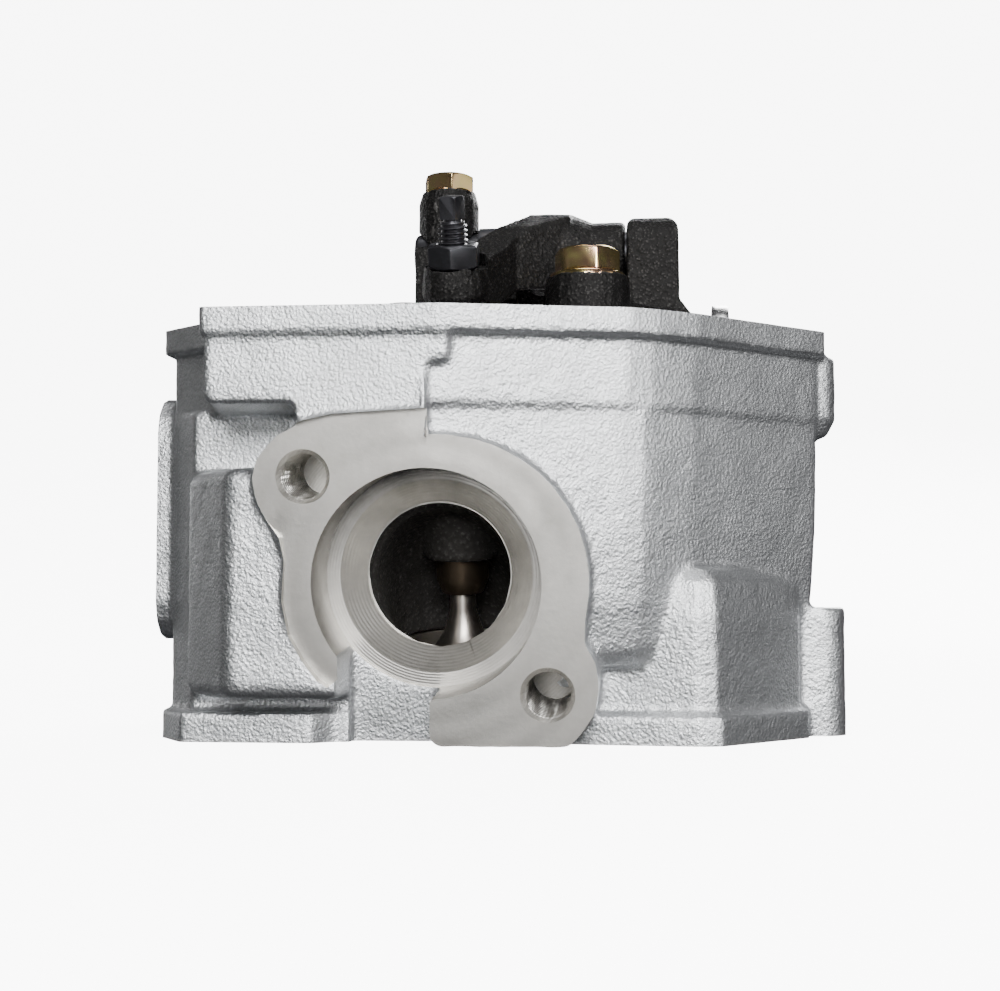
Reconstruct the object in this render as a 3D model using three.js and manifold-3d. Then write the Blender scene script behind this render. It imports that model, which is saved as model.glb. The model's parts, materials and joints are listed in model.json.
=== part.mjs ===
// Cylinder head of a liquid-cooled single, with its overhead camshaft, rockers and two valves.
// Millimetres, +Z up, deck face on Z = 0. X runs along the camshaft towards the chain side,
// Y from the exhaust side to the intake side. Sizes are set about the exhaust port centre,
// and the whole group is moved at the end so that its box stands centred on the origin.
import * as THREE from 'three';
import { mergeVertices } from 'three/addons/utils/BufferGeometryUtils.js';
import Module from 'manifold-3d';

// ---------- fits ----------
const gap = 0.3; // between pieces that seat on, press into or turn in each other
const air = 1.0; // around pieces that move past others

// ---------- casting ----------
const leftWall = -55.5;
const rightWall = 76;
const frontWall = 1.2;
const rearWall = 122;
const wall = 5;
const rimTop = 83.1; // cover gasket face
const rimThickness = 5.1;
const rimOverhang = 2;
const deckFlange = 5.8;
const boxFloor = 50; // floor of the rocker box
const boxShelf = 70; // higher floor in front of it, over the exhaust port
const shelfDepth = 25; // how far back that shelf reaches
const boreX = 8;
const boreY = 69;
const chamberRadius = 40;
const chamberHeight = 16;
const boltPitchX = 38; // head bolt holes, each way from the bore centre
const boltPitchY = 37;
const headBoltHole = 5.25;
const headBoltSeat = 9.5;
const headBoltSeatTop = 58;
const slotAngles = [62, 118, 160, 200, 241, 299]; // water slots around the bore
const slotHalf = 7; // degrees each way

// ---------- exhaust and intake ports ----------
const portY = 4.5;
const portZ = 30.7;
const portTilt = 6.5; // degrees that the exhaust face looks down
const gasketRadius = 21.75; // counterbore for the pipe gasket
const gasketDepth = 15;
const coneRadius = 18.8;
const coneDepth = 5;
const portRadius = 14.2;
const studHole = 4.3; // tapped holes of the exhaust flange
const studDepth = 22;
const studs = [[-23.1, 20.4], [22.8, -20.9]];
const intakeY = 127.5;
const intakeZ = 35;
const intakeTilt = 5; // degrees that the intake face looks up
const intakeRadius = 16;
const intakePitch = 29; // flange screws, each way from the port

// ---------- valves, measured along the stem from the seat ----------
const valveTilt = 12;
const seatOffset = 17.7; // of each valve from the bore centre
const seatHeight = 12.5;
const stemRadius = 2.75;
const guideRadius = 5.5;
const guideStart = 17.5;
const guideEnd = 45;
const padHeight = 39.2; // machined pad under the spring
const washerThickness = 1.5;
const springRadius = 12.5;
const springWire = 1.8;
const springTurns = 5.5;
const springTop = 68;
const retainerHeight = 3.4;
const stemTip = 75;
const valveHead = { exhaust: 15, intake: 16.5 };
const valveX = { exhaust: 2, intake: 8 };

// ---------- camshaft and rocker gear ----------
const camZ = 80; // also the joint between the head and the rocker holder
const camCore = 8;
const journalRadius = 10;
const baseRadius = 12;
const lobeLift = 4.8;
const noseRadius = 6;
const lobeAngle = { exhaust: 216, intake: 324 };
const padAngle = 84; // where a rocker pad meets the cam, seen from its own side
const padRadius = 15;
const shaftOffset = 12.5; // of each rocker shaft from the cam axis
const shaftZ = 103.2;
const shaftRadius = 5;
const spacerWall = 0.9;
const screwTilt = 20;
const screwRadius = 3;
const bossBottom = 2.6; // the boss's height above the valve's tip
const bossHeight = 10.6;
const nutFlats = 10;
const nutHeight = 5;
const screwLength = 25.6;
const leftBearing = [-22.5, -11.5];
const tower = { x: -2.2, y: 56.5, radius: 6.6, top: 116 };
const post = [-8.8, -0.1]; // left support of the intake shaft
const rightBearing = [37, 48];
const pedestalTop = 110;
const footTop = 93.3;
const footRadius = 8.8;
const feet = {
  front: { x: 29.1, y: 37.5, radius: footRadius, top: footTop },
  rear: { x: 29.1, y: 100.5, radius: 8, top: footTop },
  left: { x: -17, y: 91, radius: footRadius, top: 91.5 },
};
const rib = { y: 2.5, bottom: 104, top: 109.5 };
const lobe = { exhaust: [26, 33], intake: [6, 12] };
const hub = { exhaust: [16, 36.6], intake: [0.3, 18] };

// ---------- small helpers ----------
const wasm = await Module();
wasm.setup();
const rad = THREE.MathUtils.degToRad;

// A placing: position in millimetres, turns about X, Y and Z in degrees.
function at(x, y, z, rx = 0, ry = 0, rz = 0) {
  const turn = new THREE.Quaternion().setFromEuler(new THREE.Euler(rad(rx), rad(ry), rad(rz)));
  return new THREE.Matrix4().compose(new THREE.Vector3(x, y, z), turn, new THREE.Vector3(1, 1, 1));
}

// A closed geometry as a solid that can be joined and cut.
function solid(geometry, place = at(0, 0, 0)) {
  const loose = geometry.index ? geometry.toNonIndexed() : geometry.clone();
  loose.deleteAttribute('normal');
  loose.deleteAttribute('uv');
  loose.applyMatrix4(place);
  const merged = mergeVertices(loose, 1e-4);
  const corners = merged.index.array;
  const triVerts = [];
  for (let i = 0; i < corners.length; i += 3) {
    const [a, b, c] = corners.subarray(i, i + 3);
    if (a !== b && b !== c && c !== a) triVerts.push(a, b, c);
  }
  return new wasm.Manifold(new wasm.Mesh({
    numProp: 3,
    vertProperties: merged.attributes.position.array,
    triVerts: new Uint32Array(triVerts),
  }));
}

const join = (...pieces) => pieces.flat().reduce((whole, piece) => whole.add(piece));
const cut = (body, ...tools) => tools.flat().reduce((rest, tool) => rest.subtract(tool), body);

const shapeOf = (outline) => new THREE.Shape(outline.map(([x, y]) => new THREE.Vector2(x, y)));

// An outline in X and Y, raised from one height to another.
function prism(outline, z0, z1, place = at(0, 0, 0)) {
  const raised = new THREE.ExtrudeGeometry(shapeOf(outline), { depth: z1 - z0, bevelEnabled: false });
  return solid(raised.translate(0, 0, z0), place);
}

// The same with rounded edges: size is how far the ends pull in, rise is over what height.
function domed(outline, z0, z1, size, rise, steps) {
  const raised = new THREE.ExtrudeGeometry(shapeOf(outline), {
    depth: z1 - z0 - 2 * rise,
    bevelSize: size,
    bevelOffset: -size,
    bevelThickness: rise,
    bevelSegments: steps,
  });
  return solid(raised.translate(0, 0, z0 + rise));
}

// An outline in Y and Z, drawn out along X, and one in X and Z, drawn out along Y.
const alongX = new THREE.Matrix4().makeBasis(
  new THREE.Vector3(0, 1, 0), new THREE.Vector3(0, 0, 1), new THREE.Vector3(1, 0, 0));
const alongY = new THREE.Matrix4().makeBasis(
  new THREE.Vector3(1, 0, 0), new THREE.Vector3(0, 0, 1), new THREE.Vector3(0, -1, 0));
const slabX = (outline, x0, x1) => prism(outline, x0, x1, alongX);
const slabY = (outline, y0, y1) => prism(outline, -y1, -y0, alongY);
const block = (x0, x1, y0, y1, z0, z1) => prism([[x0, y0], [x1, y0], [x1, y1], [x0, y1]], z0, z1);

// A profile of [radius, height] points turned about Z. One that leaves the axis open is closed on itself.
function turned(profile, place = at(0, 0, 0), sides = 18, phase = 0) {
  const closed = profile[0][0] > 0 ? [...profile, profile[0]] : profile;
  const points = closed.map(([r, z]) => new THREE.Vector2(r, z));
  const lathe = new THREE.LatheGeometry(points, sides, rad(phase));
  return solid(lathe.rotateX(Math.PI / 2), place);
}
const disc = (r, z0, z1) => [[0, z0], [r, z0], [r, z1], [0, z1]];
const ring = (inner, outer, z0, z1) => [[inner, z0], [outer, z0], [outer, z1], [inner, z1]];
const post3 = (x, y, r, z0, z1, sides = 18) => turned(disc(r, z0, z1), at(x, y, 0), sides);
const barX = (profile, y, z, sides = 20) => turned(profile, at(0, y, z, 0, 90, 0), sides);

// Points on a circle, angles in degrees.
function arc(x, y, r, from, to, steps) {
  return Array.from({ length: steps + 1 }, (_, i) => {
    const a = rad(from + ((to - from) * i) / steps);
    return [x + r * Math.cos(a), y + r * Math.sin(a)];
  });
}

// The outline moved outwards by d, corner by corner (inwards when d is negative).
function grow(outline, d) {
  const n = outline.length;
  return outline.map(([x, y], i) => {
    const before = outline[(i + n - 1) % n];
    const after = outline[(i + 1) % n];
    const a = new THREE.Vector2(x - before[0], y - before[1]).normalize();
    const b = new THREE.Vector2(after[0] - x, after[1] - y).normalize();
    const bend = 1 + a.dot(b);
    return [x + (d * (a.y + b.y)) / bend, y - (d * (a.x + b.x)) / bend];
  });
}

// A round section swept along a curve.
function swept(curve, radius, sides, steps) {
  const section = shapeOf(arc(0, 0, radius, 0, 360 - 360 / sides, sides - 1));
  return solid(new THREE.ExtrudeGeometry(section, { steps, extrudePath: curve, bevelEnabled: false }));
}

// ---------- finishes ----------
const finish = (color, roughness, metalness) => ({ color, roughness, metalness });
const finishes = {
  castAluminium: finish(0xb4b7ba, 0.45, 0.85),
  blackIron: finish(0x2b2a29, 0.6, 0.55),
  blackSteel: finish(0x26262a, 0.4, 0.75),
  groundSteel: finish(0xa9abad, 0.25, 1),
  springSteel: finish(0x4b4d55, 0.35, 0.9),
  valveSteel: finish(0x8d8a86, 0.35, 0.95),
  sinteredSeat: finish(0x8f8c84, 0.4, 0.9),
  bronze: finish(0xa8894f, 0.4, 0.9),
  yellowZinc: finish(0xc9a94a, 0.3, 0.95),
  greenRubber: finish(0x3f5a3a, 0.75, 0),
};

const head = new THREE.Group();
function add(name, body, look) {
  const mesh = body.getMesh();
  const geometry = new THREE.BufferGeometry();
  geometry.setAttribute('position', new THREE.BufferAttribute(mesh.vertProperties, 3));
  geometry.setIndex(new THREE.BufferAttribute(mesh.triVerts, 1));
  const piece = new THREE.Mesh(geometry, new THREE.MeshStandardMaterial(finishes[look]));
  piece.geometry.computeVertexNormals();
  piece.name = name;
  head.add(piece);
}

// ---------- places that several pieces share ----------
const sides = ['exhaust', 'intake'];
const towards = { exhaust: -1, intake: 1 }; // sign of Y on each side of the bore
const seatY = (side) => boreY + towards[side] * seatOffset;
const valveAt = (side) => at(valveX[side], seatY(side), seatHeight, -towards[side] * valveTilt);
const onStem = (side, s) => [
  seatY(side) + towards[side] * s * Math.sin(rad(valveTilt)),
  seatHeight + s * Math.cos(rad(valveTilt)),
];
const screwAt = (side) => {
  const [y, z] = onStem(side, stemTip);
  return at(valveX[side], y, z, -towards[side] * screwTilt);
};
const shaftY = (side) => boreY + towards[side] * shaftOffset;
const portAt = at(0, portY, portZ, 90 + portTilt);
const intakeAt = at(valveX.intake, intakeY, intakeZ, -90 + intakeTilt);
const springRoom = (side) => turned(disc(springRadius + air, padHeight, stemTip + 9), valveAt(side));
const headBolts = [-1, 1].flatMap((i) => [-1, 1].map((j) => [boreX + i * boltPitchX, boreY + j * boltPitchY]));
const seatRing = (side) => ({ inner: valveHead[side] - 2, outer: valveHead[side] + 1.8, height: 6.5 });

// Everything that the turning camshaft and its bearings take out of the head and the holder.
const camRoom = barX([
  [0, leftBearing[0] - 4], [journalRadius + gap, leftBearing[0] - 4],
  [journalRadius + gap, leftBearing[1] + 0.5], [camCore + air, leftBearing[1] + 0.5],
  [camCore + air, lobe.intake[0] - air], [baseRadius + lobeLift + air, lobe.intake[0] - air],
  [baseRadius + lobeLift + air, lobe.exhaust[1] + air], [journalRadius + gap, lobe.exhaust[1] + air],
  [journalRadius + gap, rightBearing[1] + 20], [0, rightBearing[1] + 20],
], boreY, camZ, 24);

// ---------- the casting ----------
const wallLine = [
  [-41, frontWall], [3, frontWall], [38, 9.6], [42.6, 12], [50.5, 18], [62.5, 29.5], [rightWall, 42.5],
  [rightWall, 88], [66, 112], [48, rearWall], [-42, rearWall], [leftWall, 108], [leftWall, 28.5], [-44, 18.5],
];
const lowLine = [
  [leftWall, 28.5], [-49, 20], [30, 20], [44, 20], [rightWall - 2, 46], [rightWall - 2, 74], [rightWall, 79],
  [rightWall, 88], [66, 112], [48, rearWall], [-42, rearWall], [leftWall, 108],
];
const skirtLine = [
  [leftWall, 28.5], [-49, 20], [28, 19], [51, 15.6], [54.6, 16.6], [rightWall - 4, 39.5],
  [rightWall - 3.5, 88], [64, 110], [47, rearWall - 3], [-41, rearWall - 3], [leftWall, 106],
];
const deckLine = [
  [leftWall - 1.6, 27.5], [-50, 15.7], [-24, 15], [-20, 19], [20, 19], [31, 16.4], [51.2, 13.8], [55.6, 15],
  [rightWall - 2.3, 38.3], [rightWall - 1.8, 89], [66, 112], [48, rearWall - 1], [-42, rearWall - 1],
  [leftWall - 1.6, 107.5],
];
const bulgeLine = [
  [-8, 2], [3, 2], [37, 9.8], [41, 11.2], [43.6, 13.2], [50.5, 18.8], [62.5, 30.2], [rightWall, 43],
  [rightWall, 74], [-8, 74],
];
const jacketLine = [[-49, 17], [-46, 13], [-39, 4.5], [-37, 3.6], [-16, 3.6], [-16, 30], [-49, 30]];
const blockLine = [
  [-42, 66], [-40.8, 64.7], [-25, 64.7], [-22, 58], [0.5, 58], [0.5, 71.5], [1.5, 72.3], [4.8, 72.6],
  [4.8, rimTop - 1], [-42, rimTop - 1],
];
const faceLine = [
  [0.6, 32.8], [-17, 31.9], [-22.6, 30.7], [-28.1, 28.1], [-31.9, 23.9], [-32.8, 20.2], [-31.9, 15.6],
  [-29.6, 11.9], [-27.2, 9.1], [-26.5, 4.4], [-26.9, -3], [-25.7, -9.4], [-23.1, -14.1], [-20.2, -17.8],
  [-18.5, -18.9], [-17.2, -17.8], [-17, -13], [0.4, -13], [0.4, -29.3], [1.9, -30.7], [26.5, -30.7],
  [28.9, -28.5], [31.7, -24.3], [32.4, -19.6], [31.9, -15], [29.8, -11.3],
  ...arc(2.8, 0, 28, -14, 94, 12), [0.6, 28.5],
];
const chainTunnel = [[56, 52], [58, 50], [66, 50], [68, 52], [68, 84], [66, 86], [58, 86], [56, 84]];
const padY = [29, 104];
const padZ = [19.7, 70];
const padLine = [
  ...arc(padY[0] + 8, padZ[0] + 8, 8, 180, 270, 3), ...arc(padY[1] - 8, padZ[0] + 8, 8, 270, 360, 3),
  ...arc(padY[1] - 8, padZ[1] - 8, 8, 0, 90, 3), ...arc(padY[0] + 8, padZ[1] - 8, 8, 90, 180, 3),
];
const padX = leftWall - 3.7;
const lug = { x: rightWall + 0.4, y: 48.5, upper: 4.4, lower: 5.6, top: 78.6, lowerTop: 26.4 };
const coverScrews = [[-35.5, 8], [rightWall - 6, 50.5], [leftWall + 6, 99], [36, rearWall - 5.5]];

function outerBody() {
  const rim = prism(grow(wallLine, rimOverhang), rimTop - rimThickness, rimTop);
  const upper = prism(wallLine, blockLine[2][1], rimTop - 1);
  const lower = prism(lowLine, 1, blockLine[2][1] + 1);
  const skirt = domed(skirtLine, -20, 34, 3, 9, 2);
  const flange = prism(deckLine, 0, deckFlange);
  const bulge = domed(bulgeLine, 15, 140, 5, 42, 4);
  const jacket = domed(jacketLine, 9, 53, 2.2, 2.2, 2);
  const portBoss = prism(faceLine, -28, 0, portAt);
  const step = slabY(blockLine, 0, 24);
  const leftPad = slabX(padLine, padX, leftWall + 2);
  const intakeFlange = [
    turned(disc(21, -16, 0), intakeAt, 32),
    ...[-1, 1].map((i) => turned(disc(9, -16, 0), intakeAt.clone().multiply(at(i * intakePitch, 0, 0)))),
    prism([[-intakePitch, -9], [intakePitch, -9], [intakePitch, 9], [-intakePitch, 9]], -16, 0, intakeAt),
  ];
  const lugs = [
    turned([[0, 61], [2.6, 62], [lug.upper, 65.4], [lug.upper, lug.top], [0, lug.top]], at(lug.x - 0.3, lug.y, 0)),
    post3(lug.x, lug.y, lug.lower, 0, lug.lowerTop),
    block(rightWall - 8, lug.x, lug.y - lug.lower, lug.y + lug.lower, 0, lug.lowerTop),
    block(rightWall - 8, rightWall - 1.8, lug.y - 2.4, lug.y + 2.4, 14, 63),
  ];
  const body = join(lower, upper, skirt, flange, rim, bulge, jacket, portBoss, step, leftPad, intakeFlange, lugs);
  const under = block(-90, 110, -30, 160, -40, 0);
  const over = block(-90, 110, -30, 160, rimTop, 160);
  const facing = prism(faceLine, 0, 14, portAt);
  return cut(body, under, over, facing);
}

function rockerBox() {
  const inner = grow(wallLine, -wall);
  const deep = inner.filter(([, y]) => y > shelfDepth);
  const low = prism([[inner[0][0] - 3, shelfDepth], [56, shelfDepth], ...deep], boxFloor, boxShelf + 1);
  const high = prism(inner, boxShelf, rimTop + 1);
  const joint = camZ - gap / 2;
  const standing = [
    block(post[0], tower.x + tower.radius, tower.y - 6.6, tower.y + 4, 40, joint),
    block(post[0], post[1], 2 * boreY - tower.y - 4, 2 * boreY - tower.y + 6.6, 40, joint),
    block(leftBearing[0], leftBearing[1], boreY - 15, boreY + 15, 40, joint),
    block(rightBearing[0], rightBearing[1], boreY - 21, boreY + 21, 40, joint),
    ...Object.values(feet).map(({ x, y, radius }) => post3(x, y, radius, 40, joint)),
    ...headBolts.map(([x, y]) => post3(x, y, headBoltSeat, 40, headBoltSeatTop)),
  ];
  const screwPosts = coverScrews.map(([x, y]) => post3(x, y, 5.5, boxShelf - 6, rimTop, 16));
  const pads = sides.map((side) => turned(disc(springRadius + air, 30, padHeight), valveAt(side)));
  const kept = cut(join(standing), camRoom, sides.map(springRoom));
  return cut(join(low, high), kept, screwPosts, pads);
}

// The curved passage from a port face to its valve, less the cast boss around the guide.
function passage(side, mouth, radius) {
  const [bendY, bendZ] = onStem(side, 20.5);
  const [endY, endZ] = onStem(side, -6);
  const x = valveX[side];
  const curve = new THREE.QuadraticBezierCurve3(
    mouth, new THREE.Vector3(x, bendY, bendZ), new THREE.Vector3(x, endY, endZ));
  const boss = turned([[0, 25], [guideRadius + 2.2, 25], [guideRadius + 4.5, 40], [0, 40]], valveAt(side));
  return cut(swept(curve, radius, 16, 6), boss);
}

function waterSlot(angle) {
  const outer = arc(boreX, boreY, chamberRadius + 9.4, angle - slotHalf, angle + slotHalf, 3);
  const inner = arc(boreX, boreY, chamberRadius + 5.6, angle + slotHalf, angle - slotHalf, 3);
  return prism([...outer, ...inner], -1, 12);
}

function plugWell() {
  const frame = at(-12, boreY, seatHeight - 0.5, 0, -59, 0);
  return turned([[0, 2], [5, 2], [5, 27], [11, 27], [11, 80], [0, 80]], frame);
}

function chamber() {
  const half = chamberRadius + 5;
  const drop = half * Math.tan(rad(valveTilt));
  const roof = [
    [boreY - half, -2], [boreY + half, -2], [boreY + half, chamberHeight - drop],
    [boreY, chamberHeight], [boreY - half, chamberHeight - drop],
  ];
  const round = post3(boreX, boreY, chamberRadius, -2, chamberHeight + 2, 36);
  return slabX(roof, boreX - half, boreX + half).intersect(round);
}

function casting() {
  const exhaustBore = turned([
    [0, -gasketDepth - coneDepth - 4], [portRadius, -gasketDepth - coneDepth - 4],
    [portRadius, -gasketDepth - coneDepth], [coneRadius, -gasketDepth], [gasketRadius, -gasketDepth],
    [gasketRadius, 20], [0, 20],
  ], portAt, 36);
  const roughPocket = prism([[-17, -45], [0.4, -45], [0.4, -8], [-17, -8]], -14.5, 8, portAt);
  const exhaustMouth = new THREE.Vector3(0, 0, -gasketDepth - coneDepth + 1).applyMatrix4(portAt);
  const intakeMouth = new THREE.Vector3(0, 0, 1).applyMatrix4(intakeAt);
  const joint = camZ - gap / 2;
  const valveCuts = sides.flatMap((side) => {
    const { outer, height } = seatRing(side);
    return [
      turned(disc(outer + gap, -14, height + gap), valveAt(side), 32),
      turned(disc(guideRadius + gap, 5, padHeight + 1), valveAt(side), 16),
    ];
  });
  const threads = [
    ...studs.map(([u, v]) => turned(disc(studHole, -studDepth, 1), portAt.clone().multiply(at(u, v, 0)), 16)),
    ...[-1, 1].map((i) => turned(disc(3.4, -14, 1), intakeAt.clone().multiply(at(i * intakePitch, 0, 0)), 16)),
    ...coverScrews.map(([x, y]) => post3(x, y, 2.5, rimTop - 16, rimTop + 1, 12)),
    ...Object.values(feet).map(({ x, y }) => post3(x, y, 4 + gap, joint - 26, joint + 1, 16)),
    post3(tower.x, tower.y, 3 + gap, joint - 13.5, joint + 1, 16),
    barX(disc(2 + gap, rightBearing[1] - 9, rightBearing[1] + 1), boreY + 17, camZ - 7, 12),
  ];
  const dowelSeats = [feet.front, feet.rear].map(({ x, y }) => post3(x, y, 5.5 + gap, joint - 5, joint + 1));
  const boltHoles = headBolts.flatMap(([x, y]) => [
    post3(x, y, headBoltHole, -1, headBoltSeatTop + 1, 20),
    post3(x, y, headBoltSeat, headBoltSeatTop, boxShelf + 3),
  ]);
  const lugHole = post3(lug.x, lug.y, 3.3, -1, lug.lowerTop + 1, 16);
  const slots = slotAngles.map(waterSlot);
  const plugSeat = turned(disc(10 + gap, -4, 12), at(-34, rearWall, 34, -90), 24);
  return cut(
    outerBody(), rockerBox(), camRoom, chamber(), plugWell(), prism(chainTunnel, -1, boxFloor + 1), exhaustBore,
    roughPocket, passage('exhaust', exhaustMouth, portRadius - 0.2), passage('intake', intakeMouth, intakeRadius - 1.5),
    turned(disc(intakeRadius, -6, 1), intakeAt, 32), valveCuts, threads, dowelSeats, boltHoles, lugHole, slots,
    plugSeat, sides.map(springRoom));
}
add('cylinder_head', casting(), 'castAluminium');
add('core_plug', turned([[0, -3.7], [10, -3.7], [10, 1.2], [8.6, 1.2], [8.6, -2.2], [0, -2.2]],
  at(-34, rearWall, 34, -90)), 'yellowZinc');

// ---------- valve gear along each stem ----------
class Coil extends THREE.Curve {
  getPoint(t) {
    const low = padHeight + gap + washerThickness + gap + springWire;
    const high = springTop - springWire;
    const middle = springRadius - springWire;
    const a = 2 * Math.PI * springTurns * t;
    const rise = THREE.MathUtils.clamp((t - 0.13) / 0.74, 0, 1);
    return new THREE.Vector3(middle * Math.cos(a), middle * Math.sin(a), low + (high - low) * rise);
  }
}

function spring() {
  const low = padHeight + gap + washerThickness + gap;
  const wire = swept(new Coil(), springWire, 6, 66);
  return wire.intersect(turned(disc(springRadius + 5, low + 0.6, springTop - 0.6)));
}

for (const side of sides) {
  const place = valveAt(side);
  const head0 = valveHead[side];
  const { inner, outer, height } = seatRing(side);
  const washerTop = padHeight + gap + washerThickness;
  const groove = springTop + retainerHeight - 1.2;
  const piece = (name, body, look) => add(`${side}_${name}`, body.transform(place.elements), look);

  const face = [[head0 - 0.05, -0.4], [outer, -0.4], [outer, height], [inner, height], [inner, 1.55]];
  piece('valve_seat', turned(face, undefined, 32), 'sinteredSeat');
  piece('valve_guide', cut(turned([[0, guideStart], [guideRadius - 1.2, guideStart], [guideRadius, guideStart + 3],
    [guideRadius, guideEnd], [0, guideEnd]], undefined, 20),
  turned(disc(stemRadius + gap, guideStart - 1, guideEnd + 1), undefined, 16)), 'bronze');
  piece('valve', turned([[0, -1.6], [head0 - 0.6, -1.6], [head0, -1], [head0, -0.9], [head0 - 2.9, 2.1],
    [head0 - 7.5, 4.2], [stemRadius + 1.5, 9], [stemRadius, 14], [stemRadius, groove - 1], [stemRadius - 0.6, groove - 0.6],
    [stemRadius - 0.6, groove + 0.6], [stemRadius, groove + 1], [stemRadius, stemTip - 0.5],
    [stemRadius - 0.5, stemTip], [0, stemTip]]), 'valveSteel');
  piece('spring_seat', turned([[guideRadius + 0.8, padHeight + gap], [springRadius + 0.6, padHeight + gap],
    [springRadius + 0.6, washerTop], [guideRadius + 0.8, washerTop]]), 'blackSteel');
  piece('stem_seal', turned([[guideRadius + gap, washerTop + gap], [guideRadius + 1.7, washerTop + gap],
    [guideRadius + 1.7, guideEnd], [stemRadius + 2, guideEnd + 4], [stemRadius + gap, guideEnd + 4],
    [stemRadius + gap, guideEnd + gap], [guideRadius + gap, guideEnd + gap]], undefined, 20), 'greenRubber');
  piece('valve_spring', spring(), 'springSteel');
  const coneLow = stemRadius + 1.3;
  const coneHigh = stemRadius + 2.3;
  const retainerLow = springTop - 3;
  const retainerTop = springTop + retainerHeight;
  piece('spring_retainer', turned([[coneLow + gap, retainerLow], [springRadius - 2 * springWire - gap, retainerLow],
    [springRadius - 2 * springWire - gap, springTop + gap], [springRadius - 0.3, springTop + gap],
    [springRadius - 0.3, springTop + 2], [coneHigh + 2.6, springTop + 2.3], [coneHigh + 2, retainerTop],
    [coneHigh + gap, retainerTop]]), 'blackSteel');
  const collet = turned([[stemRadius + gap, retainerLow + 0.5], [coneLow, retainerLow + 0.5],
    [coneHigh, retainerTop + 0.4], [stemRadius + gap, retainerTop + 0.4],
    [stemRadius + gap, groove + 0.5], [stemRadius - 0.3, groove + 0.3], [stemRadius - 0.3, groove - 0.3],
    [stemRadius + gap, groove - 0.5]], undefined, 20);
  for (const [half, sign] of [['left', -1], ['right', 1]]) {
    const keep = block(Math.min(sign * 0.25, sign * 9), Math.max(sign * 0.25, sign * 9), -9, 9, retainerLow, retainerTop + 2);
    piece(`collet_${half}`, collet.intersect(keep), 'groundSteel');
  }
}

// ---------- camshaft ----------
function lobeSolid(side) {
  const [x0, x1] = lobe[side];
  const reach = baseRadius + lobeLift - noseRadius;
  const flank = THREE.MathUtils.radToDeg(Math.acos((baseRadius - noseRadius) / reach));
  const peak = rad(lobeAngle[side]);
  const nose = [boreY + reach * Math.cos(peak), camZ + reach * Math.sin(peak)];
  const outline = [
    ...arc(nose[0], nose[1], noseRadius, lobeAngle[side] - flank, lobeAngle[side] + flank, 8),
    ...arc(boreY, camZ, baseRadius, lobeAngle[side] + flank, lobeAngle[side] + 360 - flank, 20),
  ];
  return slabX(outline, x0, x1);
}

const camFlange = { inner: 55.5, outer: 59, radius: 13.5, end: 62, boss: 7 };
const thrust = { inner: rightBearing[1] + gap, thickness: 2.5, groove: 7.6 };
function camshaft() {
  const shaft = barX([
    [0, leftBearing[0] - 0.7], [journalRadius - 1, leftBearing[0] - 0.7], [journalRadius, leftBearing[0] + 0.3],
    [journalRadius, leftBearing[1]], [camCore, leftBearing[1]], [camCore, rightBearing[0] - 1],
    [journalRadius, rightBearing[0]], [journalRadius, thrust.inner - gap], [thrust.groove, thrust.inner - gap],
    [thrust.groove, thrust.inner + thrust.thickness + gap], [journalRadius, thrust.inner + thrust.thickness + gap],
    [journalRadius, camFlange.inner], [camFlange.radius, camFlange.inner], [camFlange.radius, camFlange.outer],
    [camFlange.boss, camFlange.outer], [camFlange.boss, camFlange.end], [0, camFlange.end],
  ], boreY, camZ, 22);
  const screwHoles = [-1, 1].map((i) =>
    barX(disc(2.5, camFlange.inner - 1, camFlange.outer + 1), boreY + i * 10, camZ, 12));
  const oilHole = barX(disc(2, 30, camFlange.end + 1), boreY, camZ, 12);
  return cut(join(shaft, sides.map(lobeSolid)), screwHoles, oilHole);
}
add('camshaft', camshaft(), 'groundSteel');

function thrustPlate() {
  const x0 = thrust.inner;
  const fork = [
    [boreY + 4, camZ - 12], [boreY + 21, camZ - 12], [boreY + 21, camZ - 2], [boreY + 15, camZ - 0.8],
    [boreY + 4, camZ - 0.8],
  ];
  const plate = slabX(fork, x0, x0 + thrust.thickness);
  const notch = barX(disc(thrust.groove + gap, x0 - 1, x0 + 5), boreY, camZ, 28);
  return cut(plate, notch, barX(disc(2 + gap, x0 - 1, x0 + 5), boreY + 17, camZ - 7, 12));
}
add('cam_thrust_plate', thrustPlate(), 'blackSteel');
const thrustFace = thrust.inner + thrust.thickness + gap;
add('thrust_plate_screw', join(
  barX(disc(2, rightBearing[1] - 8, thrustFace + 1), boreY + 17, camZ - 7, 12),
  cut(barX([[0, thrustFace], [3.6, thrustFace], [3.6, thrustFace + 2.2], [2.8, thrustFace + 3], [0, thrustFace + 3]],
    boreY + 17, camZ - 7, 16), barX(disc(1.5, thrustFace + 1.6, thrustFace + 4), boreY + 17, camZ - 7, 6)),
), 'yellowZinc');

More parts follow.
